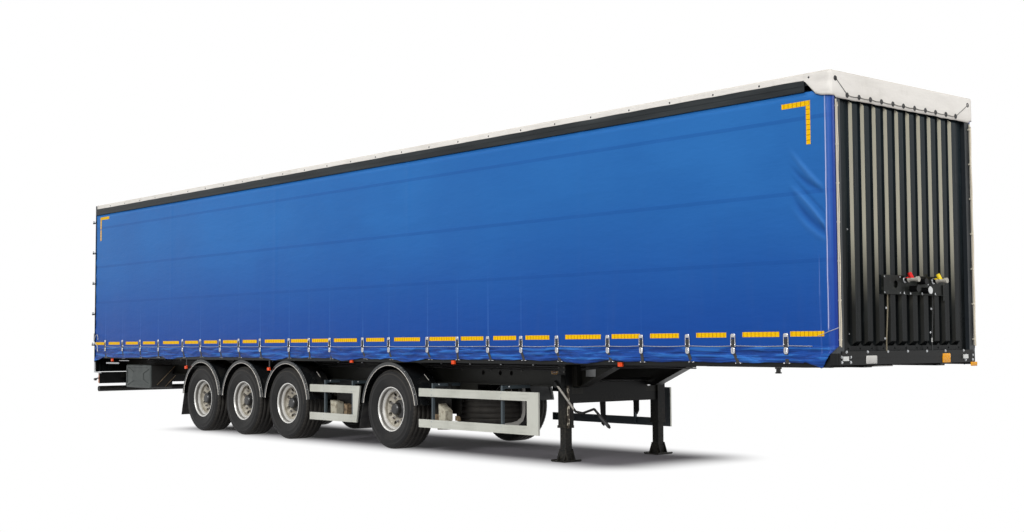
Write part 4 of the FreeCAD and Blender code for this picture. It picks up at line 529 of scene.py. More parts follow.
w = paint("extruded_aluminium_brushed")
behind = 1 - abs(w.y).span(1.1755, 1.1765)
drawn = w.noise(30.0, 4.0, (14, 1, 0.4))
smear = w.noise(3.0, 5.0).span(0.35, 0.7)
silver = (drawn * 0.6 + smear * 0.4).tint((0.66, 0.665, 0.59), (0.47, 0.475, 0.415))
plank = w.finish(behind.tint(silver, (0.045, 0.062, 0.072)), smear * 0.18 + 0.36, drawn, 0.0004,
                 Metallic=(1 - behind) * 0.30)
dress(plank, "side_guards")
beads, places = [], []
for side, x0, x1, posts in ((1, -0.940, 0.250, (-0.568, 0.128)), (-1, -0.940, 0.250, (-0.568, 0.128)),
                            (-1, 1.683, 3.810, (1.955, 3.336)), (1, 1.683, 3.830, (1.955, 3.336))):
    for z in (0.350, 0.402, 0.751, 0.803):
        path = np.linspace((x0 + 0.004, side * PLANK_FACE_Y, z), (x1, side * PLANK_FACE_Y, z), 12)
        beads.append(swept(path, 0.0022, 0.0016, 6))
    for x in posts:
        places += [(x, side * 1.2, z) for z in (0.345, 0.405, 0.745, 0.808)]
        places.append((x + 0.115, side * 1.165, 0.884))
solid("side_guard_beads", beads, plank)
bolts("side_guard_bolts", 0.007, 0.006, places, "Y")

chock_cream = mottled("wheel_chock_cream", (18.0, 5.0), (0.45, 0.75), (0.62, 0.585, 0.46),
                      (0.30, 0.25, 0.17), 0.6, 160.0, 0.0005)
chocks = [slab(outline, -1.06, -0.94)
          for outline in (((1.922, 0.628), (1.932, 0.412), (2.066, 0.411), (2.066, 0.537)),
                          ((-0.611, 0.601), (-0.600, 0.405), (-0.455, 0.405), (-0.455, 0.577)))]
solid("wheel_chocks", chocks, chock_cream, smooth=False)
seats = [slab(((1.834, 0.490), (1.834, 0.416), (1.925, 0.412), (1.925, 0.490)), -1.05, -0.98),
         slab(((-0.290, 0.559), (-0.290, 0.414), (-0.214, 0.414), (-0.214, 0.540)), -1.04, -0.95),
         slab(((1.876, 0.335), (1.876, 0.290), (2.086, 0.299), (2.086, 0.335)), -1.04, -0.96),
         slab(((2.106, 0.470), (2.106, 0.410), (2.160, 0.410), (2.150, 0.460)), -0.93, -0.88)]
solid("chock_seats", seats, tan_paint, smooth=False)
holders = [(((1.640, 0.890), (1.640, 0.330), (2.150, 0.330), (2.150, 0.400), (2.020, 0.400), (2.020, 0.890)),
            -0.925, -0.917),
           (((-0.640, 0.890), (-0.640, 0.380), (-0.180, 0.380), (-0.180, 0.890)), -0.925, -0.917),
           (((1.740, 0.890), (1.740, 0.480), (1.960, 0.480), (1.960, 0.780), (2.300, 0.800), (2.300, 0.890)),
            -0.712, -0.704),
           (((1.640, 0.335), (1.640, 0.325), (2.100, 0.325), (2.100, 0.335)), -1.07, -0.917),
           (((-0.640, 0.402), (-0.640, 0.392), (-0.180, 0.392), (-0.180, 0.402)), -1.07, -0.917)]
solid("chock_holders", [slab(*holder) for holder in holders], black, smooth=False)
sling = np.insert([(2.737, 1.000), (2.737, 0.560), (2.733, 0.500), (2.700, 0.426), (2.611, 0.371),
                   (2.494, 0.345), (2.350, 0.330)], 1, -0.30, axis=1)
solid("spare_sling_strap", swept(sling, 0.030, 0.004, 6), lip_highlight_and_sling_grey, smooth=False)

# ========================================================== floor, roof rails and bare steel of the body
# Coated plywood boards between pressed side rails; sliding zinc-coated pillars; roof rails drawn from
# dark anodised aluminium with one groove for the curtain rollers' cover strip.
w = paint("coated_plywood_boards")
grain = w.noise(5.0, 6.0, (1, 16, 16))
joints = (w.y * 4.0).fraction().span(0.0, 0.03)
dress(w.finish(grain.tint((0.115, 0.062, 0.030), (0.21, 0.125, 0.066)), grain * 0.2 + 0.42,
               joints + grain * 0.2, 0.001), "load_floor")
dress(zinc, "side_pillars", "roof_bows")
w = paint("dark_anodised_rail")
haze = w.noise(2.2, 5.0, (0.4, 1, 3)).span(0.35, 0.8)
dress(w.finish(haze.tint((0.012, 0.015, 0.017), (0.040, 0.046, 0.048)), haze * 0.2 + 0.40,
               w.noise(60.0, 3.0, (0.5, 8, 8)), 0.0003, Specular_IOR_Level=0.18), "roof_rails")

# ================================================================== front wall and what it carries
# Pressed steel sheet with ten upright ribs, bolted to the corner posts and the bolster, anthracite coated.
# A hooded plate carries the air coupling heads and the electric sockets for the lines from a tractor.
RIB_PITCH = 0.196
RIB_FLANK = 0.024
w = paint("anthracite_coating")
rain = w.noise(9.0, 6.0, (1, 3, 0.22)).span(0.42, 0.78)
# painted reflection: the coating is lighter towards the top and near black low down, for the sky it mirrors
# above
grey = w.z.span(1.6, 3.4).tint((0.0030, 0.0038, 0.0040), (0.0120, 0.0190, 0.0230))
grey = (rain * 0.30).tint(grey, (0.022, 0.029, 0.031))
# painted reflection: the ribs' flanks facing -Y are pale beige, fading out lower down, for the bright sky
# they mirror
across = ((w.y + 4.5 * RIB_PITCH + 0.0650) / RIB_PITCH).fraction()
flank_reflection = (across < RIB_FLANK / RIB_PITCH) * (abs(w.y) < 0.95) * (w.x > 8.218)
flank_reflection = flank_reflection * (w.z.span(1.70, 2.65) * 0.95 + 0.02)
anthracite = w.finish(flank_reflection.tint(grey, (0.50, 0.475, 0.37)), rain * 0.12 + 0.22 + flank_reflection * 0.3,
                      w.noise(240.0, 2.0), 0.0004, Specular_IOR_Level=0.12)
dress(anthracite, "front_wall", "rear_portal")
w = paint("corner_post_coating")
pale = w.x.span(8.2462, 8.2472)
dress(w.finish(pale.tint((0.016, 0.020, 0.024), (0.60, 0.56, 0.46)), 0.42 - pale * 0.02, w.noise(200.0),
               0.0003), "front_posts")

WALL_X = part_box("front_wall")[1][0]
PLATE_X = WALL_X - 0.050
BOLSTER_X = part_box("front_bolster")[1][0]
places = [(PLATE_X, (k - 5) * RIB_PITCH, z) for z in (1.345, 3.715) for k in range(11)]
places += [(PLATE_X, y, z) for y in (-1.085, 1.085) for z in np.linspace(1.45, 3.65, 12)]
bolts("front_wall_bolts", 0.0075, 0.006, places, "+X", anthracite)
places = [(BOLSTER_X, y, 1.312) for y in (-1.09, -0.745, -0.405, -0.06, 0.283, 0.627, 0.977)]
bolts("bolster_bolts", 0.011, 0.008, places, "+X")
places = [(WALL_X, side * y, z) for side in (1, -1) for y in (1.02, 1.16) for z in (1.215, 1.265)]
bolts("bolster_corner_bolts", 0.012, 0.009, places, "+X")


def rounded_plate(length, height, radius, thick, rise=0.0):
    """Flat plate about +Z: a rounded rectangle outline carried through (inset, height) of a bevelled edge."""
    turn = np.linspace(0, 2 * math.pi, 32, endpoint=False)
    corner_x = np.sign(np.cos(turn + 0.01)) * (length / 2 - radius)
    corner_y = np.sign(np.sin(turn + 0.01)) * (height / 2 - radius)
    edge = ((0.0, 0.0), (0.0, thick * 0.7), (min(radius, thick) * 0.4, thick), (radius * 0.9, thick + rise))
    rings = [run_of(corner_x + (radius - inset) * np.cos(turn), corner_y + (radius - inset) * np.sin(turn), z)
             for inset, z in edge]
    faces = lattice(4, 32, across=True)[:, ::-1].tolist()
    return np.concatenate(rings), faces + [list(range(96, 128)), list(reversed(range(32)))]


def facing_front(form, place):
    """Plate made about +Z, turned to face +X with its length along Y, and moved to a place."""
    return form[0][:, [2, 0, 1]] + place, form[1]


def facing_side(form, place, side=-1):
    """Plate made about +Z, turned to face -Y, or +Y for side 1, with its length along X, at a place."""
    faces = form[1] if side < 0 else [face[::-1] for face in form[1]]
    return form[0][:, [0, 2, 1]] * (1, side, 1) + place, faces


blank_white = mottled("blank_plate_white", (8.0, 4.0), None, (0.66, 0.65, 0.61), (0.50, 0.49, 0.46), 0.45,
                      300.0, 0.0002)
blank_grey = mottled("blank_plate_grey", (12.0, 4.0), None, (0.33, 0.34, 0.34), (0.22, 0.225, 0.225), 0.38,
                     500.0, 0.0002, Metallic=0.5)
w = paint("aged_side_reflector")
inner = abs(w.x - 3.715).span(0.034, 0.040).larger(abs(w.z - 1.055).span(0.013, 0.018))
tan_lens = w.finish(inner.tint((0.16, 0.060, 0.012), (0.60, 0.33, 0.075)), 0.22, (w.x * 1900.0).sine(),
                    0.0005, Coat_Weight=0.6)
w = paint("marker_lamp_lens")
cells = (w.x * 1900.0).sine() * (w.z * 1900.0).sine()
bracket = (w.z > 1.0610) * (w.z < 1.1090)
near_low = (abs(w.x + 1.99) < 0.12) + (abs(w.x + 4.63) < 0.12)
bracket = bracket + near_low * (w.z > 1.1080)
lens = (w.x > 8.2).tint((1.0, 0.080, 0.002), (0.78, 0.79, 0.76))
dress(w.finish(bracket.tint(lens, (0.010, 0.010, 0.011)), 0.25, cells, 0.0006, Specular_IOR_Level=0.25),
      "marker_lamps")
w = paint("amber_corner_reflector")
amber_corner = w.finish((0.95, 0.40, 0.0), 0.18, (w.y * 1500.0).sine(), 0.0005, Specular_IOR_Level=0.3)
for name, length, height, y, z, material, slot in (
        ("bolster_blank_plate", 0.180, 0.080, -0.68, 1.236, blank_white, "anthracite_panel"),
        ("bolster_reflector", 0.145, 0.096, 0.650, 1.238, amber_corner, "amber_lens"),
        ("bolster_corner_reflector", 0.125, 0.044, 1.180, 1.170, amber_corner, "amber_lens")):
    plate = rounded_plate(length, height, 0.008, 0.006, 0.003)
    solid(name, facing_front(plate, (WALL_X, y, z)), material)
BEAM_FACE = -BEAM_WEB_Y - 0.004
solid("neck_blank_plate", facing_side(rounded_plate(0.165, 0.115, 0.008, 0.003), (4.345, BEAM_FACE, 1.065)),
      blank_grey)
oval = rounded_plate(0.125, 0.056, 0.0270, 0.006, 0.003)
solid("beam_reflector", facing_side(oval, (3.715, BEAM_FACE, 1.055)), tan_lens)

w = paint("service_panel_paint")
scuff = w.noise(25.0, 5.0).span(0.5, 0.72)
dress(w.finish(scuff.tint((0.0085, 0.0095, 0.0085), (0.03, 0.032, 0.028)), scuff * 0.2 + 0.40, w.noise(350.0),
               0.0003, Specular_IOR_Level=0.14), "service_panel")
w = paint("coupling_head_colours")
red_head = w.y < -0.035
yellow_head = w.y > 0.330
white_cap = (w.y > 0.203) * (w.y < 0.280) * (w.x > 8.333)
knob = (w.z > 2.040) * (w.x > 8.284) * (w.x < 8.372)
palm = (red_head + yellow_head) * (w.x > 8.300)
valve = palm.tint((0.0040, 0.0040, 0.0044), (0.46, 0.44, 0.38))
valve = (red_head * knob).tint(valve, (0.70, 0.012, 0.010))
valve = (yellow_head * knob).tint(valve, (0.90, 0.66, 0.02))
valve = white_cap.tint(valve, (0.72, 0.73, 0.72))
dress(w.finish(valve, 0.38, w.noise(90.0, 3.0), 0.0018, Specular_IOR_Level=0.16), "coupling_heads")
w = paint("service_line_cover")
sleeve = w.z.band(1.400, 1.405, 1.444, 1.448) * (w.y > 0.0)
line_colour = (w.y < 0.0).tint((0.010, 0.010, 0.010), (0.20, 0.17, 0.11))
dress(w.finish(sleeve.tint(line_colour, (0.60, 0.60, 0.57)), 0.5, (w.z * 900.0).sine(), 0.0009),
      "service_lines")

panel_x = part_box("service_panel")[1][0]
fitting = lathe([(0.0, 0.0), (0.017, 0.0), (0.017, 0.010), (0.013, 0.012), (0.013, 0.020), (0.010, 0.022),
                 (0.010, 0.034), (0.0, 0.034)], 6)
places = [(panel_x - 0.014, y, 1.882) for y in (-0.12, -0.01, 0.20, 0.44)]
solid("panel_hose_fittings", repeat((fitting[0] * 0.62, fitting[1]), places, "+Z"), zinc,
      smooth=False)
places = [(panel_x, y, z) for y in (-0.480, -0.210) for z in (1.892, 2.048)]
places += [(WALL_X + 0.005, y, z) for y, z in ((0.105, 1.951), (0.330, 1.985), (0.345, 1.915), (0.540, 2.02))]
places += [(PLATE_X, y, z)
           for y, z in ((-0.963, 2.490), (0.002, 2.480), (0.785, 2.480), (-0.963, 1.484), (0.002, 1.476))]
bolts("panel_screws", 0.006, 0.005, places, "+X")
collar = lathe([(0.0, 0.0), (0.034, 0.0), (0.034, 0.008), (0.029, 0.012), (0.0, 0.012)], 18)
places = [(WALL_X + 0.0045, y, 2.026) for y in (-0.09, 0.425)]
solid("coupling_head_collars", repeat(collar, places, "+X"), zinc)
p_clip = lathe([(0.0, 0.0), (0.012, 0.0), (0.012, 0.004), (0.006, 0.006), (0.006, 0.010), (0.0, 0.010)], 10)
places = [(WALL_X + 0.0005, y, z) for y, z in ((-0.445, 1.44), (0.359, 1.50), (-0.418, 1.74), (0.384, 1.74))]
solid("service_line_clips", repeat(p_clip, places, "+X"), zinc, smooth=False)

# ====================================================================== side curtains with their straps
# Glossy coated polyester, welded from level strips and pulled down by webbing straps with over-centre
# buckles that hook under the side rail. The front edge wraps the corner post. Reflective tape is glued on.
CURTAIN_LOW, CURTAIN_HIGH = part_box("curtain_right")
CLOTH_Y = abs(CURTAIN_LOW[1]) - 0.002
CLOTH_TOP = CURTAIN_HIGH[2]
CLOTH_REAR = CURTAIN_LOW[0]
CORNER = 0.060
CORNER_X = CURTAIN_HIGH[0] - 0.062
CORNER_Y = abs(CURTAIN_LOW[1]) - 0.062
FLAT_LENGTH = CORNER_X - CLOTH_REAR
CLOTH_LENGTH = FLAT_LENGTH + CORNER * math.pi / 2
FRONT_X = 8.25
BEND_X = 8.19
CLOTH_THICK = 0.0016
TAPE_HALF = 0.025
STRAP_HALF = 0.0215
BUCKLES_BEHIND = np.array([0.57, 1.23, 1.84, 2.50, 3.01, 3.84, 4.47, 5.08, 5.68, 6.30, 7.15, 7.76, 8.58, 9.12,
                           9.66, 10.49, 11.14, 11.74, 12.39, 13.01, 13.89, 14.59, 15.29, 16.01])
BUCKLE_X = np.sort(FRONT_X - BUCKLES_BEHIND)
PILLAR_X = FRONT_X - np.array([3.42, 6.72, 10.07, 13.45])
SEAM_Z = (3.55, 2.83, 2.17)
# the hem's height along the cloth, where it hangs unevenly at the rear and turns up round the front post
HEM_ALONG = (-8.25, -7.74, -7.35, -6.95, -6.64, -6.33, -5.84, -5.54, -5.31, -5.11, -4.89, -4.42,
             7.93, 8.10, 8.14, 8.19, 8.25, 8.29)
HEM_HEIGHT = (1.099, 1.196, 1.178, 1.173, 1.182, 1.184, 1.191, 1.207, 1.162, 1.163, 1.192, 1.212,
              1.213, 1.158, 1.215, 1.295, 1.350, 1.372)
# ends of the glued reflective strips along the cloth
TAPES = ((-8.19, -7.74), (-7.62, -7.16), (-6.91, -6.43), (-6.23, -5.77), (-5.47, -4.89), (-4.68, -4.22),
         (-4.02, -3.59), (-3.40, -2.95), (-2.77, -2.34), (-2.10, -1.53), (-1.36, -0.90), (-0.79, -0.37),
         (-0.22, 0.35), (0.57, 0.99), (1.22, 1.79), (1.99, 2.54), (2.64, 3.08), (3.27, 3.69), (3.86, 4.28),
         (4.55, 5.13), (5.30, 5.73), (5.88, 6.29), (6.53, 6.93), (7.14, 7.60), (7.73, 8.13))


def ramp(value, start, length):
    """0 up to start, 1 from start + length on, straight between; a negative length falls instead."""
    return np.clip((value - start) / length, 0, 1)


def hump(a, width):
    """Bell of height 1: exp(-(a / width)^2)."""
    return np.exp(-(a / width) ** 2)


def cloud(a, b, seed):
    """Smooth random field over two arrays, one value per whole step, about -1 to 1."""
    table = np.random.default_rng(seed).uniform(-1, 1, (64, 64))
    i, j = np.floor(a).astype(int), np.floor(b).astype(int)
    s, t = [u * u * u * (u * (u * 6 - 15) + 10) for u in (a - i, b - j)]
    i, j = i % 64, j % 64
    k, m = (i + 1) % 64, (j + 1) % 64
    return (table[i, j] * (1 - s) + table[k, j] * s) * (1 - t) + (table[i, m] * (1 - s) + table[k, m] * s) * t


def between_buckles(x):
    """Share of the way from one buckle to the next, 0 to 1, and that gap's length."""
    ends = np.concatenate([[CLOTH_REAR - 0.1], BUCKLE_X, [FRONT_X + 0.05]])
    k = np.clip(np.searchsorted(ends, x) - 1, 0, len(ends) - 2)
    gap = ends[k + 1] - ends[k]
    return (x - ends[k]) / gap, gap


def hem_line(x, seed):
    """Height of the lower edge: uneven at the rear, lower in wide gaps, with a corner tip in front."""
    share, gap = between_buckles(x)
    sag = np.sin(math.pi * share) ** 1.6 * (0.008 + 0.034 * ramp(gap, 0.70, 0.14)) * ramp(x, -4.6, 0.4)
    wave = 0.004 * cloud(x * 5.5, x * 0, seed) + 0.003 * cloud(x * 14.0, x * 0 + 3, seed)
    return np.interp(x, HEM_ALONG, HEM_HEIGHT) - sag * (x < 7.9) + wave


def cloth_out(x, z, seed):
    """How far the cloth stands out from its plane: waves, pillars, weld seams, strap pulls, folds and hem."""
    share, gap = between_buckles(x)
    arch = np.sin(math.pi * share)
    tight = ramp(z, 1.42, 0.5)
    out = 0.0040 * cloud(x * 0.55, z * 0.6, seed) + 0.0024 * cloud(x * 1.7, z * 0.9, seed + 1)
    out = out * ramp(z, CLOTH_TOP, -0.3)
    for pillar in PILLAR_X:
        out += 0.0030 * hump(x - pillar, 0.05) * tight - 0.0022 * hump(x - pillar, 0.30) * tight
    for seam in SEAM_Z:
        out += 0.0011 * (hump(z - seam - 0.02, 0.016)) - 0.0009 * hump(z - seam + 0.012, 0.008)
    for buckle in BUCKLE_X:
        run = np.exp(-np.clip(z - 1.45, 0, None) / 0.75)
        out += 0.0022 * (hump(x - buckle, 0.020) - 1.3 * hump(x - buckle, 0.060)) * run
    hang = 0.055 + 0.05 * ramp(gap, 0.70, 0.14)
    lean = z + hang * arch ** 2 * ramp(z, 1.75, -0.4)
    low = ramp(z, 1.372, -0.03)
    fold = cloud(x * 1.1, lean * 19.0, seed + 2)
    crease = 0.0120 * np.sign(fold) * np.abs(fold) ** 0.75 + 0.0050 * cloud(x * 3.6, lean * 41.0, seed + 3)
    crease += 0.0020 * cloud(x * 11.0, lean * 30.0, seed + 4)
    out += crease * low * (0.35 + 0.65 * arch) + 0.0070 * arch ** 2 * low
    out += 0.0016 * cloud(x * 2.4, lean * 13.0, seed + 5) * ramp(z, 2.0, -0.5) * (1 - low)
    for level, strength in ((2.90, 0.0060), (2.50, 0.0050)):
        out += strength * hump(((x - BEND_X) + (z - level)) * 0.70, 0.080) * ramp(x, 7.5, 0.6)
    pull = ramp(x, 7.70, 0.4) ** 2
    out += pull * 0.0035 * np.sin((z * 9.5 + (x - 8.1) * 7.0)) * ramp(z, 2.6, -0.6)
    rear = ramp(x, CLOTH_REAR + 0.55, -0.5) ** 2
    ripple = np.sin(z * 24.0 + (x - CLOTH_REAR) * 9.0 + cloud(z * 3, z * 0, seed))
    out += rear * 0.0060 * ripple * ramp(z, 3.4, -0.4)
    flare = ramp(z, 1.335, -0.20) * (0.006 + 0.006 * arch)
    return np.clip(out + flare, np.where(x > 7.95, -0.0004, -0.0035), 0.024)


def cloth_at(s, z, side, seed, lift=0.0):
    """Point of the cloth at arc length s from the rear edge and height z: flat side, then a quarter bend."""
    turn = np.clip((s - FLAT_LENGTH) / CORNER, 0, math.pi / 2)
    x = CLOTH_REAR + np.minimum(s, FLAT_LENGTH)
    out = cloth_out(x, z, seed) * np.clip(1 - turn * 1.6, 0.05, 1) + lift
    return run_of(x + np.sin(turn) * (CORNER + out), side * (CORNER_Y + np.cos(turn) * (CORNER + out)), z)


w = paint("royal_blue_coated_cloth")
weave = (w.x * 3900.0).sine() * (w.z * 3900.0).sine()
bloom = w.noise(0.55, 5.0, (1, 1, 1.6)).span(0.32, 0.70)
streak = w.noise(7.0, 5.0, (1, 1, 0.12)).span(0.50, 0.80) * (1 - w.z.span(1.35, 3.6))
grime = w.noise(5.0, 6.0).span(0.50, 0.80) * (1 - w.z.span(1.12, 1.42))
seams = 0.0
for seam in SEAM_Z:
    seams = seams + (w.z.span(seam - 0.002, seam + 0.002) - w.z.span(seam + 0.038, seam + 0.042))
colour = bloom.tint((0.0210, 0.146, 0.455), (0.0270, 0.172, 0.505))
# painted shade: the cloth darkens towards the hem, for the lower part getting less sky light
colour = w.z.span(1.2, 3.4).tint((0.0090, 0.070, 0.345), colour)
colour = (seams * 0.30).tint(colour, (0.0070, 0.066, 0.31))
colour = (streak * 0.08 + grime * 0.20).tint(colour, (0.08, 0.13, 0.28))
# creases of the hem: painted highlights on the ridges and painted shade in the valleys
below = 1 - w.z.span(1.352, 1.376)
low_folds = w.noise(8.0, 4.0, (0.20, 1, 3.2)).span(0.30, 0.70)
colour = (low_folds.span(0.66, 0.76) * below * 0.55).tint(colour, (0.040, 0.22, 0.66))
colour = ((1 - low_folds.span(0.22, 0.36)) * below * 0.70).tint(colour, (0.005, 0.032, 0.18))
# painted highlights: pale lines where the straps pull the cloth up from its buckles
pull_highlights = 0.0
for buckle in BUCKLE_X:
    pull_highlights = pull_highlights + (1 - abs(w.x - float(buckle)).span(0.003, 0.013))
fade = (1 - w.z.span(1.55, 2.45)) * w.z.span(1.48, 1.52) * (1 - w.x.span(4.0, 7.0))
pull_highlights = pull_highlights * fade * w.noise(2.0, 3.0, (1, 1, 0.3)).span(0.30, 0.65) * 0.32
colour = pull_highlights.tint(colour, (0.10, 0.26, 0.68))
# painted highlights: pale upright streaks on the cloth just behind the front corner
corner_highlight_streaks = w.noise(26.0, 3.0, (1, 1, 0.030)).span(0.60, 0.72) * w.x.span(8.00, 8.12)
corner_highlight_streaks = corner_highlight_streaks * w.noise(2.2, 3.0).span(0.42, 0.62)
colour = (corner_highlight_streaks * 0.45).tint(colour, (0.22, 0.34, 0.74))
# the bend round the post: a painted violet-blue reflection over the bend, a painted highlight line at its
# start, a painted shade strip at its end and a painted highlight band between
bend_highlight = w.x.band(8.171, 8.176, 8.182, 8.188) * w.z.span(1.50, 1.56)
colour = (w.x.span(8.18, 8.20) * 0.55).tint(colour, (0.014, 0.060, 0.360))
bend_highlight = bend_highlight * (w.noise(6.0, 4.0, (1, 1, 0.25)).span(0.30, 0.62) * 0.5 + 0.28)
colour = bend_highlight.tint(colour, (0.62, 0.64, 0.90))
colour = (w.x.span(8.228, 8.240) * 0.60).tint(colour, (0.003, 0.022, 0.24))
bend_highlight_band = w.x.band(8.196, 8.206, 8.212, 8.224) * w.z.span(1.9, 2.6)
colour = (bend_highlight_band * 0.35).tint(colour, (0.10, 0.20, 0.62))
# curved folds that fan out from the front corner: level, slope, curve, width and rise; they bump the surface
# and are also painted, as highlight where the rise is positive and as shade where it is negative
pulls = 0.0
ahead = w.x - BEND_X
for level, slope, curve, wide, rise in (
        (2.821, -0.914, 0.30, 0.072, 1.10), (2.845, -0.175, 1.10, 0.060, -0.95),
        (2.600, -1.00, 0.0, 0.045, -0.45), (2.478, -1.28, -0.57, 0.060, 1.15),
        (2.444, -0.52, 0.99, 0.080, -1.10), (2.376, -0.42, 0.87, 0.065, 0.60)):
    slant = abs(w.z - level - ahead * slope - ahead * ahead * curve) * 0.72
    bell = 1 - slant.span(0.0, wide)
    pulls = pulls + bell * bell * rise
pulls = pulls * w.x.span(7.70, 7.94) * (1 - w.x.span(8.145, 8.175))
colour = (pulls.larger(0.0) * 0.40).tint(colour, (0.075, 0.26, 0.66))
colour = ((pulls * -1.0).larger(0.0) * 0.60).tint(colour, (0.010, 0.070, 0.30))
front_lines = w.noise(30.0, 4.0, (1, 1, 0.035)) * w.x.span(7.70, 8.12)
low_lines = w.noise(9.0, 4.0, (1, 1, 0.10)) * (1 - w.z.span(1.45, 2.30)) * w.z.span(1.37, 1.40)
creases = w.noise(3.4, 6.0, (0.45, 1, 1.6)) * 0.9 + w.noise(17.0, 5.0, (0.5, 1, 1.5)) * 0.20
creases = creases + low_folds * below * 2.0 + pulls + front_lines * 0.55 + low_lines * 0.30
gloss = (w.x.span(8.165, 8.195) * 0.25 + below * 0.10) + 0.02
blue = w.finish(colour, 0.36 + streak * 0.08 + grime * 0.12 + bloom * 0.05,
                creases + weave * 0.010 + seams * 0.05, 0.0080, Coat_Weight=gloss, Coat_Roughness=0.14,
                Specular_IOR_Level=0.10)

w = paint("reflective_tape_yellow")
upright = (w.z > 2.5) * (w.z < 3.683)
cell = (upright * w.z * 20.0 + (1 - upright) * w.x * 20.0).fraction()
gap = (cell < 0.07) + (cell > 0.93)
honey = w.noise(420.0, "cells").span(0.0, 0.7)
yellow = honey.tint((1.0, 0.50, 0.0), (1.0, 0.60, 0.004))
tape_yellow = w.finish(gap.span(0.0, 1.0).tint(yellow, (0.50, 0.22, 0.0)), 0.45, honey, 0.0003,
                       Specular_IOR_Level=0.10)
w = paint("customs_cord_white")
cord_white = w.finish(w.noise(40.0, 3.0).tint((0.60, 0.60, 0.58), (0.42, 0.42, 0.41)), 0.4,
                      (w.x * 1500.0).sine(), 0.0006)
w = paint("black_strap_webbing")
ribs = (w.x * 1400.0).sine() * 0.5 + (w.z * 2400.0).sine() * 0.5
webbing = w.finish(w.noise(30.0, 4.0).tint((0.010, 0.010, 0.011), (0.040, 0.039, 0.038)), 0.68, ribs, 0.0005)
buckle_steel = mottled("polished_buckle_steel", (90.0, 4.0), None, (0.62, 0.62, 0.63), (0.40, 0.40, 0.41),
                       0.24, 500.0, 0.0002, Metallic=0.95)
w = paint("buckle_lever_black")
lever_black = w.finish((0.012, 0.012, 0.013), 0.34, w.noise(600.0), 0.0002)

flat_run = np.concatenate([np.linspace(0, 0.6, 26)[:-1], np.linspace(0.6, FLAT_LENGTH - 1.2, 560)[:-1],
                           np.linspace(FLAT_LENGTH - 1.2, FLAT_LENGTH, 90)[:-1],
                           np.linspace(FLAT_LENGTH, CLOTH_LENGTH, 9)])
rows = np.concatenate([np.linspace(0, 0.155, 30)[:-1], np.linspace(0.155, 0.26, 8)[:-1],
                       np.linspace(0.26, 1, 26)])
segments = []
for start, end in TAPES:
    level = 1.461 + 0.0034 * (start + end) / 2
    segments.append((start, end, level - TAPE_HALF, level + TAPE_HALF))
segments += [(FRONT_X - 0.58, FRONT_X - 0.24, 3.685, 3.735), (FRONT_X - 0.29, FRONT_X - 0.24, 3.31, 3.683),
             (-8.03, -7.66, 3.720, 3.770), (-8.03, -7.98, 3.334, 3.718)]
cap = rounded_plate(0.060, 0.040, 0.016, 0.012, 0.002)
tongue = rounded_plate(0.055, 0.074, 0.025, 0.012, 0.002)
slot_bar = rounded_plate(0.005, 0.044, 0.002, 0.0145)
lever = rounded_plate(0.036, 0.062, 0.008, 0.014, 0.002)
knot = rounded_plate(0.048, 0.026, 0.008, 0.017, 0.002)
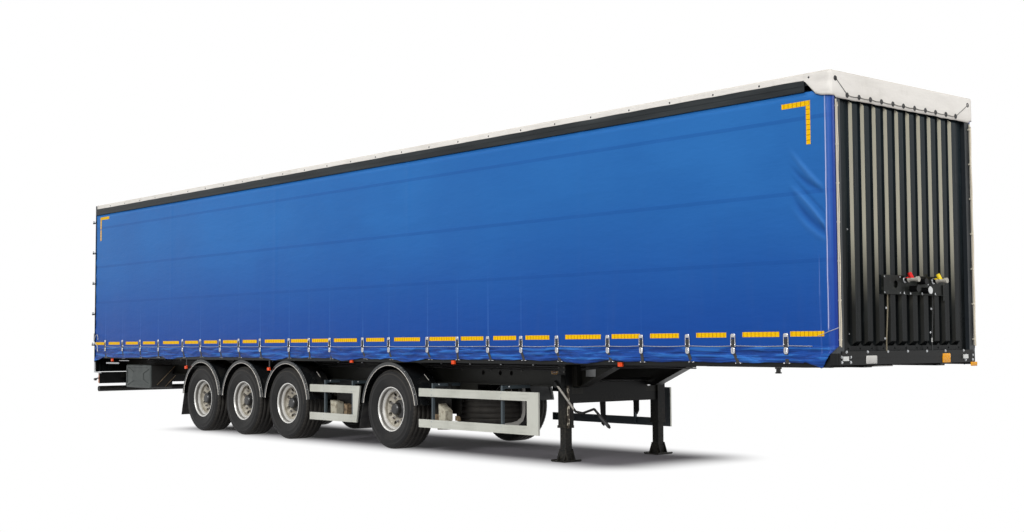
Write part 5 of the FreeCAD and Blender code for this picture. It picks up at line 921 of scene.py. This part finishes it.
for side, word, seed in ((-1, "right", 11), (1, "left", 29)):
    hem = hem_line(CLOTH_REAR + flat_run, seed)
    z = hem[:, None] + (CLOTH_TOP - 0.001 - hem[:, None]) * rows[None, :]
    quads = lattice(len(flat_run), len(rows))
    cloth = solid("curtain_cloth_" + word, (cloth_at(flat_run[:, None] + 0 * z, z, side, seed),
                                            quads[:, ::-1] if side > 0 else quads), blue)
    wall = cloth.modifiers.new("cloth thickness", "SOLIDIFY")
    wall.thickness = CLOTH_THICK
    wall.offset = 0.0
    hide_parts("curtain_" + word)

    strips = []
    for x0, x1, z0, z1 in segments:
        count = max(3, int((x1 - x0) / 0.03))
        s = np.linspace(x0, x1, count)[:, None] - CLOTH_REAR
        z = np.linspace(z0, z1, 4 if z1 - z0 < 0.1 else 14)[None, :]
        top = cloth_at(s + 0 * z, z + 0 * s, side, seed, CLOTH_THICK)
        strips.append((top, lattice(count, z.shape[1])[:, ::side]))
    solid("reflective_tape_" + word, strips, tape_yellow)

    along = np.linspace(-7.72, 7.995, 700)
    share, gap = between_buckles(along)
    cord_z = 1.374 - 0.008 * np.sin(math.pi * share) * gap + 0.0015 * np.sin(along * 9)
    line = cloth_at(along - CLOTH_REAR, cord_z, side, seed, 0.0045)
    wrap = np.linspace(8.06 - CLOTH_REAR, CLOTH_LENGTH - 0.004, 26)
    corner_line = cloth_at(wrap, 1.470 + 0.075 * np.linspace(0, 1, 26) ** 1.2, side, seed, 0.004)
    solid("customs_cord_" + word, [swept(line, 0.0032, sides=6), swept(corner_line, 0.0030, sides=6)],
          cord_white)

    lean_of = np.random.default_rng(seed + 7).uniform(0.015, 0.085, len(BUCKLE_X))
    metal, plastic, straps = [], [], []
    for x, lean in zip(BUCKLE_X, lean_of):
        face_y = CLOTH_Y + float(cloth_out(np.array([x]), np.array([1.40]), seed)[0]) + 0.002
        for edge_x in (-0.0265, 0.0265):
            bar = [(x + edge_x, side * (face_y + 0.005), z) for z in (1.365, 1.480)]
            metal.append(swept(np.linspace(*bar, 4), 0.0058, sides=6))
        metal += [facing_side(form, (x, side * face_y, z), side)
                  for form, z in ((cap, 1.477), (tongue, 1.328))]
        plastic += [facing_side(form, (x, side * face_y, z), side)
                    for form, z in ((lever, 1.415), (knot, 1.374), (slot_bar, 1.332))]
        foot = float(hem_line(np.array([x + lean]), seed)[0]) - 0.012
        v = np.linspace(0, 1, 10)
        lie = face_y + 0.0005 + 0.006 * (1 - v) ** 2
        z = foot + (1.315 - foot) * v
        grid = np.stack([run_of(x + lean * (1 - v) + half, side * (lie + out), z) for half, out in
                         ((-STRAP_HALF, 0.0015), (STRAP_HALF, 0.0015), (STRAP_HALF, 0), (-STRAP_HALF, 0))], 1)
        quads = lattice(10, 4, across=True)[:, ::side].tolist()
        straps.append((grid, quads + [list(range(4))[::-side], list(range(36, 40))[::side]]))
        hook = np.linspace(*[(x + lean + end, side * (CLOTH_Y + 0.0085), foot + 0.004)
                             for end in (-0.036, 0.036)], 5)
        plastic.append(swept(hook, 0.0042, sides=6))
        metal += [swept(hook[:2] + (-0.003, 0, 0), 0.0058, sides=6),
                  swept(hook[3:] + (0.003, 0, 0), 0.0058, sides=6)]
    frame_piece = solid("buckle_frames_" + word, metal, buckle_steel)
    solid("buckle_levers_" + word, plastic, lever_black)
    solid("tension_straps_" + word, straps, webbing, smooth=False)
    if side < 0:
        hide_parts("curtain_buckles")

# ================================================================================== roof tarpaulin
# White coated tarpaulin stretched over the bows, its edge turned down over the roof rails. The front flap
# is drawn down by a thin rope through black eyelets; welded pockets reinforce both front corners.
roof_low, roof_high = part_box("roof_tarp")
ROOF_TOP = roof_high[2]
EDGE_Z = 3.930
SIDE_Y = roof_high[1] - 0.0015
NOSE_X = roof_high[0] - 0.0015
ROOF_REAR = roof_low[0]
BOW_PITCH = 0.61
STUD_PITCH = 0.60
TARP_THICK = 0.0014
EYELET_Y = np.array([-1.002, -0.807, -0.616, -0.428, -0.230, -0.043, 0.156, 0.354, 0.545, 0.744, 0.929])
BOW_FIRST = ROOF_REAR + 0.135
CORNER_BEND = 0.045
ROLL = 0.014
EYELET_Z = 3.779
FLAP_HEM = 3.734
ROPE_END_Y = (-1.187, 1.170)
ROPE_END_Z = 3.923


def eave(count_side, count_front):
    """Plan outline of the tarpaulin: rear right, forward, round the front right corner, across, and back."""
    x = np.linspace(ROOF_REAR, NOSE_X - CORNER_BEND, count_side)
    turn = np.linspace(0, math.pi / 2, 7)[1:-1]
    y = np.linspace(-SIDE_Y + CORNER_BEND, SIDE_Y - CORNER_BEND, count_front)
    right = run_of(x, -SIDE_Y)
    bend = run_of(NOSE_X - CORNER_BEND + CORNER_BEND * np.sin(turn),
                  -SIDE_Y + CORNER_BEND - CORNER_BEND * np.cos(turn))
    front = run_of(NOSE_X, y)
    return np.concatenate([right, bend, front, bend[::-1] * (1, -1), right[::-1] * (1, -1)])


def lower_edge(plan):
    """Height of the tarpaulin's edge: along the rail, down the corner pocket, wavy between the eyelets."""
    x, y = plan[:, 0], np.abs(plan[:, 1])
    edge = EDGE_Z + 0.0025 * cloud(x * 1.6, x * 0, 5)
    edge += 0.003 * np.abs(np.sin((x - ROOF_REAR) * math.pi / STUD_PITCH))
    pocket = np.interp(x, [NOSE_X - 0.302, NOSE_X - 0.150, NOSE_X - 0.001], [EDGE_Z, 3.768, 3.754])
    edge = np.where(x > NOSE_X - 0.302, np.minimum(edge, pocket), edge)
    scallop = FLAP_HEM + 0.0040 * hump(near_eyelet, 0.050) + 0.003 * cloud(plan[:, 1] * 6, x * 0, 8)
    return np.where((x > NOSE_X - 0.002) & (y < 1.19), scallop, edge)


plan = eave(270, 110)
x, y = plan.T
near_eyelet = np.abs(y[:, None] - EYELET_Y[None]).min(1)
edge = lower_edge(plan)
past_x, past_y = x - NOSE_X + CORNER_BEND, np.abs(y) - SIDE_Y + CORNER_BEND
inward = run_of(-1.0 * (x > NOSE_X - CORNER_BEND) * past_x / CORNER_BEND,
                -np.sign(y) * (np.abs(y) > SIDE_Y - CORNER_BEND) * past_y / CORNER_BEND)
inward /= np.maximum(np.linalg.norm(inward, axis=1)[:, None], 1e-9)
spine = run_of(np.minimum(x, NOSE_X - 0.9), y * 0)
# up the skirt, round the rolled edge, then inward to the ridge
levels = []
for share in np.linspace(0, 1, 12):
    z = edge + (ROOF_TOP - ROLL - edge) * share
    tall = np.clip((ROOF_TOP - edge - 0.10) / 0.12, 0, 1)
    puff = 0.0042 * cloud(x * 2.4 + y * 4.6, z * 11, 14) * tall * math.sin(math.pi * share)
    pull = -0.0035 * hump(near_eyelet, 0.022) * (1 - share) ** 2 * (x > NOSE_X - 0.002)
    out = np.clip(puff * 1.6 + pull, -0.007, 0.0012)
    levels.append(np.concatenate([plan - inward * out[:, None], z[:, None]], 1))
for share in np.linspace(0.2, 1.0, 5):
    bend = share * math.pi / 2
    levels.append(np.concatenate([plan + inward * ROLL * (1 - math.cos(bend)),
                                  np.full((len(plan), 1), ROOF_TOP - ROLL + ROLL * math.sin(bend))], 1))
flat_top = plan + inward * ROLL
for share in (0.03, 0.10, 0.25, 0.45, 0.70, 1.0):
    place = flat_top + (spine - flat_top) * share
    phase = (place[:, 0] - BOW_FIRST) * math.pi / BOW_PITCH
    ripple = 0.0015 * (1 + cloud(place[:, 0], place[:, 1] * 2, 3)) / 2
    sag = 0.0045 * np.sin(phase) ** 2 * min(1.0, share * 8) + ripple
    levels.append(np.concatenate([place, (ROOF_TOP - sag)[:, None]], 1))

w = paint("white_coated_tarpaulin")
soil = w.noise(2.6, 6.0).span(0.42, 0.80) * 0.55 + w.noise(14.0, 5.0, (1, 1, 0.35)).span(0.55, 0.85) * 0.5
front_dirt = (1 - w.z.span(3.75, 3.84)) * 0.35
welt = (1 - w.z.span(3.789, 3.793)) * w.x.span(8.249, 8.251)
weave = (w.y * 3200.0).sine() * (w.z * 3200.0).sine()
top_dust = w.z.span(3.984, 3.997) * 0.82
cream = (soil * 0.5 + front_dirt + top_dust).tint((0.88, 0.85, 0.79), (0.54, 0.505, 0.44))
puckers = w.noise(5.0, 6.0, (1, 1, 2.2)) * 0.9 + w.noise(16.0, 4.0, (1, 0.6, 1.4)) * 0.30
white_cloth = w.finish(cream, 0.44 + soil * 0.2 + top_dust * 0.45, puckers + welt * 0.12 + weave * 0.012,
                       0.006, Specular_IOR_Level=0.22)
skin = solid("roof_tarpaulin_cloth", (np.stack(levels, 1), lattice(len(plan), len(levels))), white_cloth)
skin.modifiers.new("closed ridge", "WELD").merge_threshold = 0.0002
wall = skin.modifiers.new("tarpaulin thickness", "SOLIDIFY")
wall.thickness = TARP_THICK
wall.offset = 0.0
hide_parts("roof_tarp")
steps = np.linalg.norm(np.diff(plan, axis=0), axis=1)

eyelet = lathe([(0.0, 0.0012), (0.0042, 0.0012), (0.0062, 0.0022), (0.0098, 0.0022), (0.0112, 0.0)], 16)
w = paint("black_eyelet")
black_ring = w.finish((0.006, 0.006, 0.007), 0.45, w.noise(500.0), 0.0002)
places = [(NOSE_X + 0.0004, y, EYELET_Z) for y in EYELET_Y]
places += [(NOSE_X - 0.001, y, ROPE_END_Z) for y in ROPE_END_Y]
rings = [repeat((eyelet[0] * (2.4, 2.4, 1.4), eyelet[1]), places, "+X")]
studs = [(x, side * (SIDE_Y + 0.0004), 3.955)
         for side in (-1, 1) for x in np.arange(NOSE_X - 0.245, ROOF_REAR + 0.1, -STUD_PITCH)]
solid("roof_eyelets", rings + [repeat(eyelet, studs, "Y")], black_ring)

w = paint("lacing_rope_grey")
rope_grey = w.finish((0.085, 0.080, 0.072), 0.6, (w.y * 1600.0 + w.z * 900.0).sine(), 0.0008)
t = np.linspace(0, 1, 11)
lace = [run_of(NOSE_X + 0.0040 + 0.0035 * np.sin(math.pi * t), a + (b - a) * t,
               EYELET_Z - 0.010 * np.sin(math.pi * t))[:-1] for a, b in zip(EYELET_Y, EYELET_Y[1:])]
right_end, left_end = [(NOSE_X + 0.004, y, ROPE_END_Z) for y in ROPE_END_Y]
lead = np.linspace(right_end, (NOSE_X + 0.005, EYELET_Y[0], EYELET_Z), 6)[:-1]
tail = np.linspace((NOSE_X + 0.005, EYELET_Y[-1], EYELET_Z), left_end, 6)
solid("flap_lacing_rope", swept(np.concatenate([lead, *lace, tail]), 0.0030, sides=6), rope_grey)
w = paint("curtain_edge_cream")
edge_cream = w.finish(w.noise(9.0, 3.0, (1, 1, 0.3)).tint((0.88, 0.80, 0.63), (0.62, 0.55, 0.42)), 0.4,
                      (w.z * 900.0).sine(), 0.0006)
z = np.linspace(3.69, 1.36, 150)
for side, word, radius in ((-1, "right", 0.0050), (1, "left", 0.0085)):
    wander = 0.004 * np.sin(z * 11.0) + 0.003 * cloud(z * 2.0, z * 0, 40 + side)
    path = run_of(WALL_X + 0.0195, side * (1.187 + wander), z)
    solid("curtain_edge_rope_" + word, swept(path, radius, sides=6), edge_cream)

# ========================================================================== rear doors and lamps
# Aluminium plank doors in flush frames with forged hinges, and zinc-plated lock rods that turn by hand
# levers. Multi-chamber tail lamps sit in the black panel above the round underrun bar.
w = paint("door_plank_coating")
smear = w.noise(2.0, 6.0, (1, 1, 0.4)).span(0.40, 0.80)
low_dirt = (1 - w.z.span(1.2, 2.1)) * w.noise(6.0, 5.0).span(0.40, 0.75)
lines = 1 - ((w.z - 1.283) / 0.300).fraction().span(0.0, 0.03)
dress(w.finish((smear * 0.35 + low_dirt * 0.6).tint((0.54, 0.55, 0.55), (0.27, 0.26, 0.235)),
               0.30 + smear * 0.2, lines * 0.5 + w.noise(120.0, 3.0) * 0.1, 0.0012, Coat_Weight=0.3),
      "rear_door_left", "rear_door_right")
dress(zinc, "door_gear_left", "door_gear_right")
w = paint("tail_lamp_lens")
y_out = abs(w.y)
lens = y_out.span(1.048, 1.050).tint((0.36, 0.006, 0.005), (0.78, 0.20, 0.012))
lens = (1 - y_out.span(0.815, 0.817)).tint(lens, (0.62, 0.62, 0.60))
stalk = y_out.span(1.181, 1.183)
lens = stalk.tint(lens, (0.016, 0.016, 0.017))
flute = (w.y * 900.0).sine() + (w.z * 900.0).sine()
dress(w.finish(lens, 0.16 + stalk * 0.4, flute * (1 - stalk), 0.0008, Coat_Weight=0.8), "tail_lamps")

door_low, door_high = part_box("rear_door_right")
for side, word in ((-1, "right"), (1, "left")):
    body = "rear_door_%s_body" % word
    y0, y1 = side * 0.012, side * (door_high[1] if side > 0 else -door_low[1]) - side * 0.006
    z0, z1 = door_low[2] + 0.006, door_high[2] - 0.006
    corners = [(door_low[0] - 0.0012, y, z) for y, z in ((y0, z0), (y1, z0), (y1, z1), (y0, z1), (y0, z0))]
    path = np.concatenate([np.linspace(a, b, 14)[:-1] for a, b in zip(corners, corners[1:])] + [corners[:1]])
    solid("door_seal_" + word, swept(path, 0.0052, 0.0026, 6), rubber, body)
    gear_low, gear_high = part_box("door_gear_" + word)
    places = [(door_low[0] - 0.009, side * (1.225 - dy), z + 0.015)
              for z in np.linspace(gear_low[2] + 0.245, gear_high[2] - 0.195, 5)
              for dy in (0.06, 0.12, 0.18, 0.24)]
    bolts("door_hinge_bolts_" + word, 0.0075, 0.007, places, "-X", body=body)

shoes = [slab(((-8.212, 1.095), (-8.212, 0.900), (-7.910, 0.888), (-7.910, 0.906), (-8.150, 0.918),
               (-8.170, 1.095)), -1.274, -1.262),
         slab(((-7.840, 1.064), (-7.840, 1.090), (-7.310, 1.090), (-7.310, 1.064)), -1.205, -1.190),
         slab(((-7.300, 1.119), (-7.300, 1.131), (-6.900, 1.131), (-6.900, 1.119)), -1.205, -1.190)]
shoes += [(points * (1, -1, 1), [face[::-1] for face in faces]) for points, faces in shoes]
solid("rear_corner_shoes", shoes, zinc, smooth=False)
knot_run = [(-8.200, -1.283, 1.62), (-8.190, -1.290, 1.56), (-8.203, -1.286, 1.52), (-8.180, -1.292, 1.47),
            (-8.120, -1.291, 1.43), (-8.060, -1.287, 1.40), (-8.040, -1.288, 1.34), (-8.036, -1.286, 1.29)]
loop_run = [(-8.200, -1.286, 1.50), (-8.120, -1.291, 1.58), (-8.050, -1.292, 1.60), (-8.020, -1.290, 1.55),
            (-8.030, -1.288, 1.50)]
solid("rear_tie_rope", [swept(knot_run, 0.0075, sides=6), swept(loop_run, 0.0060, sides=6)], cord_white)

# ==================================================================================== studio
# A pale floor that glows white away from the trailer, with a dark grey patch round its footprint that is
# partly painted shadow and partly the lamps' own shadows; soft lamps from above and in front, and the camera
# at the front right corner.


def seen_rays(w):
    """Largest of three shares: 1 for rays seen straight, mirrored or through glass, 0 for cast light."""
    straight, mirrored, through = [w.node("ShaderNodeLightPath", out=k) for k in (0, 3, 6)]
    return straight.larger(mirrored.larger(through))


w = paint("studio_floor")
floor_with_shadow_patch = w.finish((0.20, 0.19, 0.21), 0.85, Specular_IOR_Level=0.1)
seen = seen_rays(w)
glow = w.node("ShaderNodeEmission", {"Color": (1, 1, 1), "Strength": 1.0})
# painted shadow: round the trailer's footprint the white glow gives way to the dark grey floor, a shadow
# patch that the lamps' shadows fall into
beside_x = (abs(w.x) - 4.6).larger(0.0)
beside_y = (abs(w.y) - 0.6).larger(0.0)
away = (beside_x * beside_x + beside_y * beside_y).root().span(0.0, 1.15)
ground = Wire(w.tree, w.tree.nodes["Principled BSDF"].outputs[0])
blend = w.node("ShaderNodeMixShader", {0: seen * (away * 0.98 + 0.02), 1: ground, 2: glow})
w.plug(blend, w.tree.nodes["Material Output"].inputs["Surface"])
REACH = 90.0
floor_mesh = bpy.data.meshes.new("studio_floor")
floor_mesh.from_pydata([(x * REACH, y * REACH, 0) for x, y in ((-1, -1), (1, -1), (1, 1), (-1, 1))], [],
                       [(0, 1, 2, 3)])
floor_mesh.materials.append(floor_with_shadow_patch)
floor = bpy.data.objects.new("studio_floor", floor_mesh)
bpy.context.collection.objects.link(floor)

world = bpy.data.worlds.new("studio")
bpy.context.scene.world = world
world.use_nodes = True
w = Wire(world.node_tree)
sky = world.node_tree.nodes["Background"]
w.plug((1, 1, 1), sky.inputs["Color"])
w.plug(seen_rays(w) * 0.68 + 0.32, sky.inputs["Strength"])


def lamp(name, place, aim, size, power):
    """Square area lamp that looks at a point; a lamp without a size is an even, soft daylight."""
    light = bpy.data.lights.new(name, "AREA" if size else "SUN")
    if size:
        light.size = size
    else:
        light.angle = math.radians(24.0)
    light.energy = power
    holder = bpy.data.objects.new(name, light)
    bpy.context.collection.objects.link(holder)
    holder.location = place
    holder.rotation_euler = (Vector(aim) - Vector(place)).to_track_quat("-Z", "Y").to_euler()
    return light


lamp("front_right_daylight", (12, -22, 15), (0, 0, 0), 0, 1.9)
lamp("high_softbox", (0, -3, 26), (0, 0, 1), 22, 4600)
lamp("front_softbox", (30, 6, 12), (8, 0, 2.0), 12, 2400)
pole_strip = lamp("pole_strip", (3.3, -18.5, 5.0), (8.25, -1.3, 2.6), 0.8, 220)
pole_strip.shape = "RECTANGLE"
pole_strip.size_y = 9.0

camera = bpy.data.cameras.new("front_right_view")
camera.lens = 47.44
camera.sensor_width = 36.0
camera.clip_end = 400.0
viewer = bpy.data.objects.new("front_right_view", camera)
bpy.context.collection.objects.link(viewer)
azimuth, pitch, tilt = np.radians((49.03, 3.217, -0.294))
ahead = np.array([-math.sin(azimuth) * math.cos(pitch), math.cos(azimuth) * math.cos(pitch), math.sin(pitch)])
level = np.array([math.cos(azimuth), math.sin(azimuth), 0.0])
above = np.cross(level, ahead)
pose = np.eye(4)
pose[:3] = np.stack([math.cos(tilt) * level + math.sin(tilt) * above,
                     -math.sin(tilt) * level + math.cos(tilt) * above, -ahead, (15.850, -11.877, 1.426)], 1)
viewer.matrix_world = Matrix(pose)
scene = bpy.context.scene
scene.camera = viewer
scene.view_settings.view_transform = "Standard"
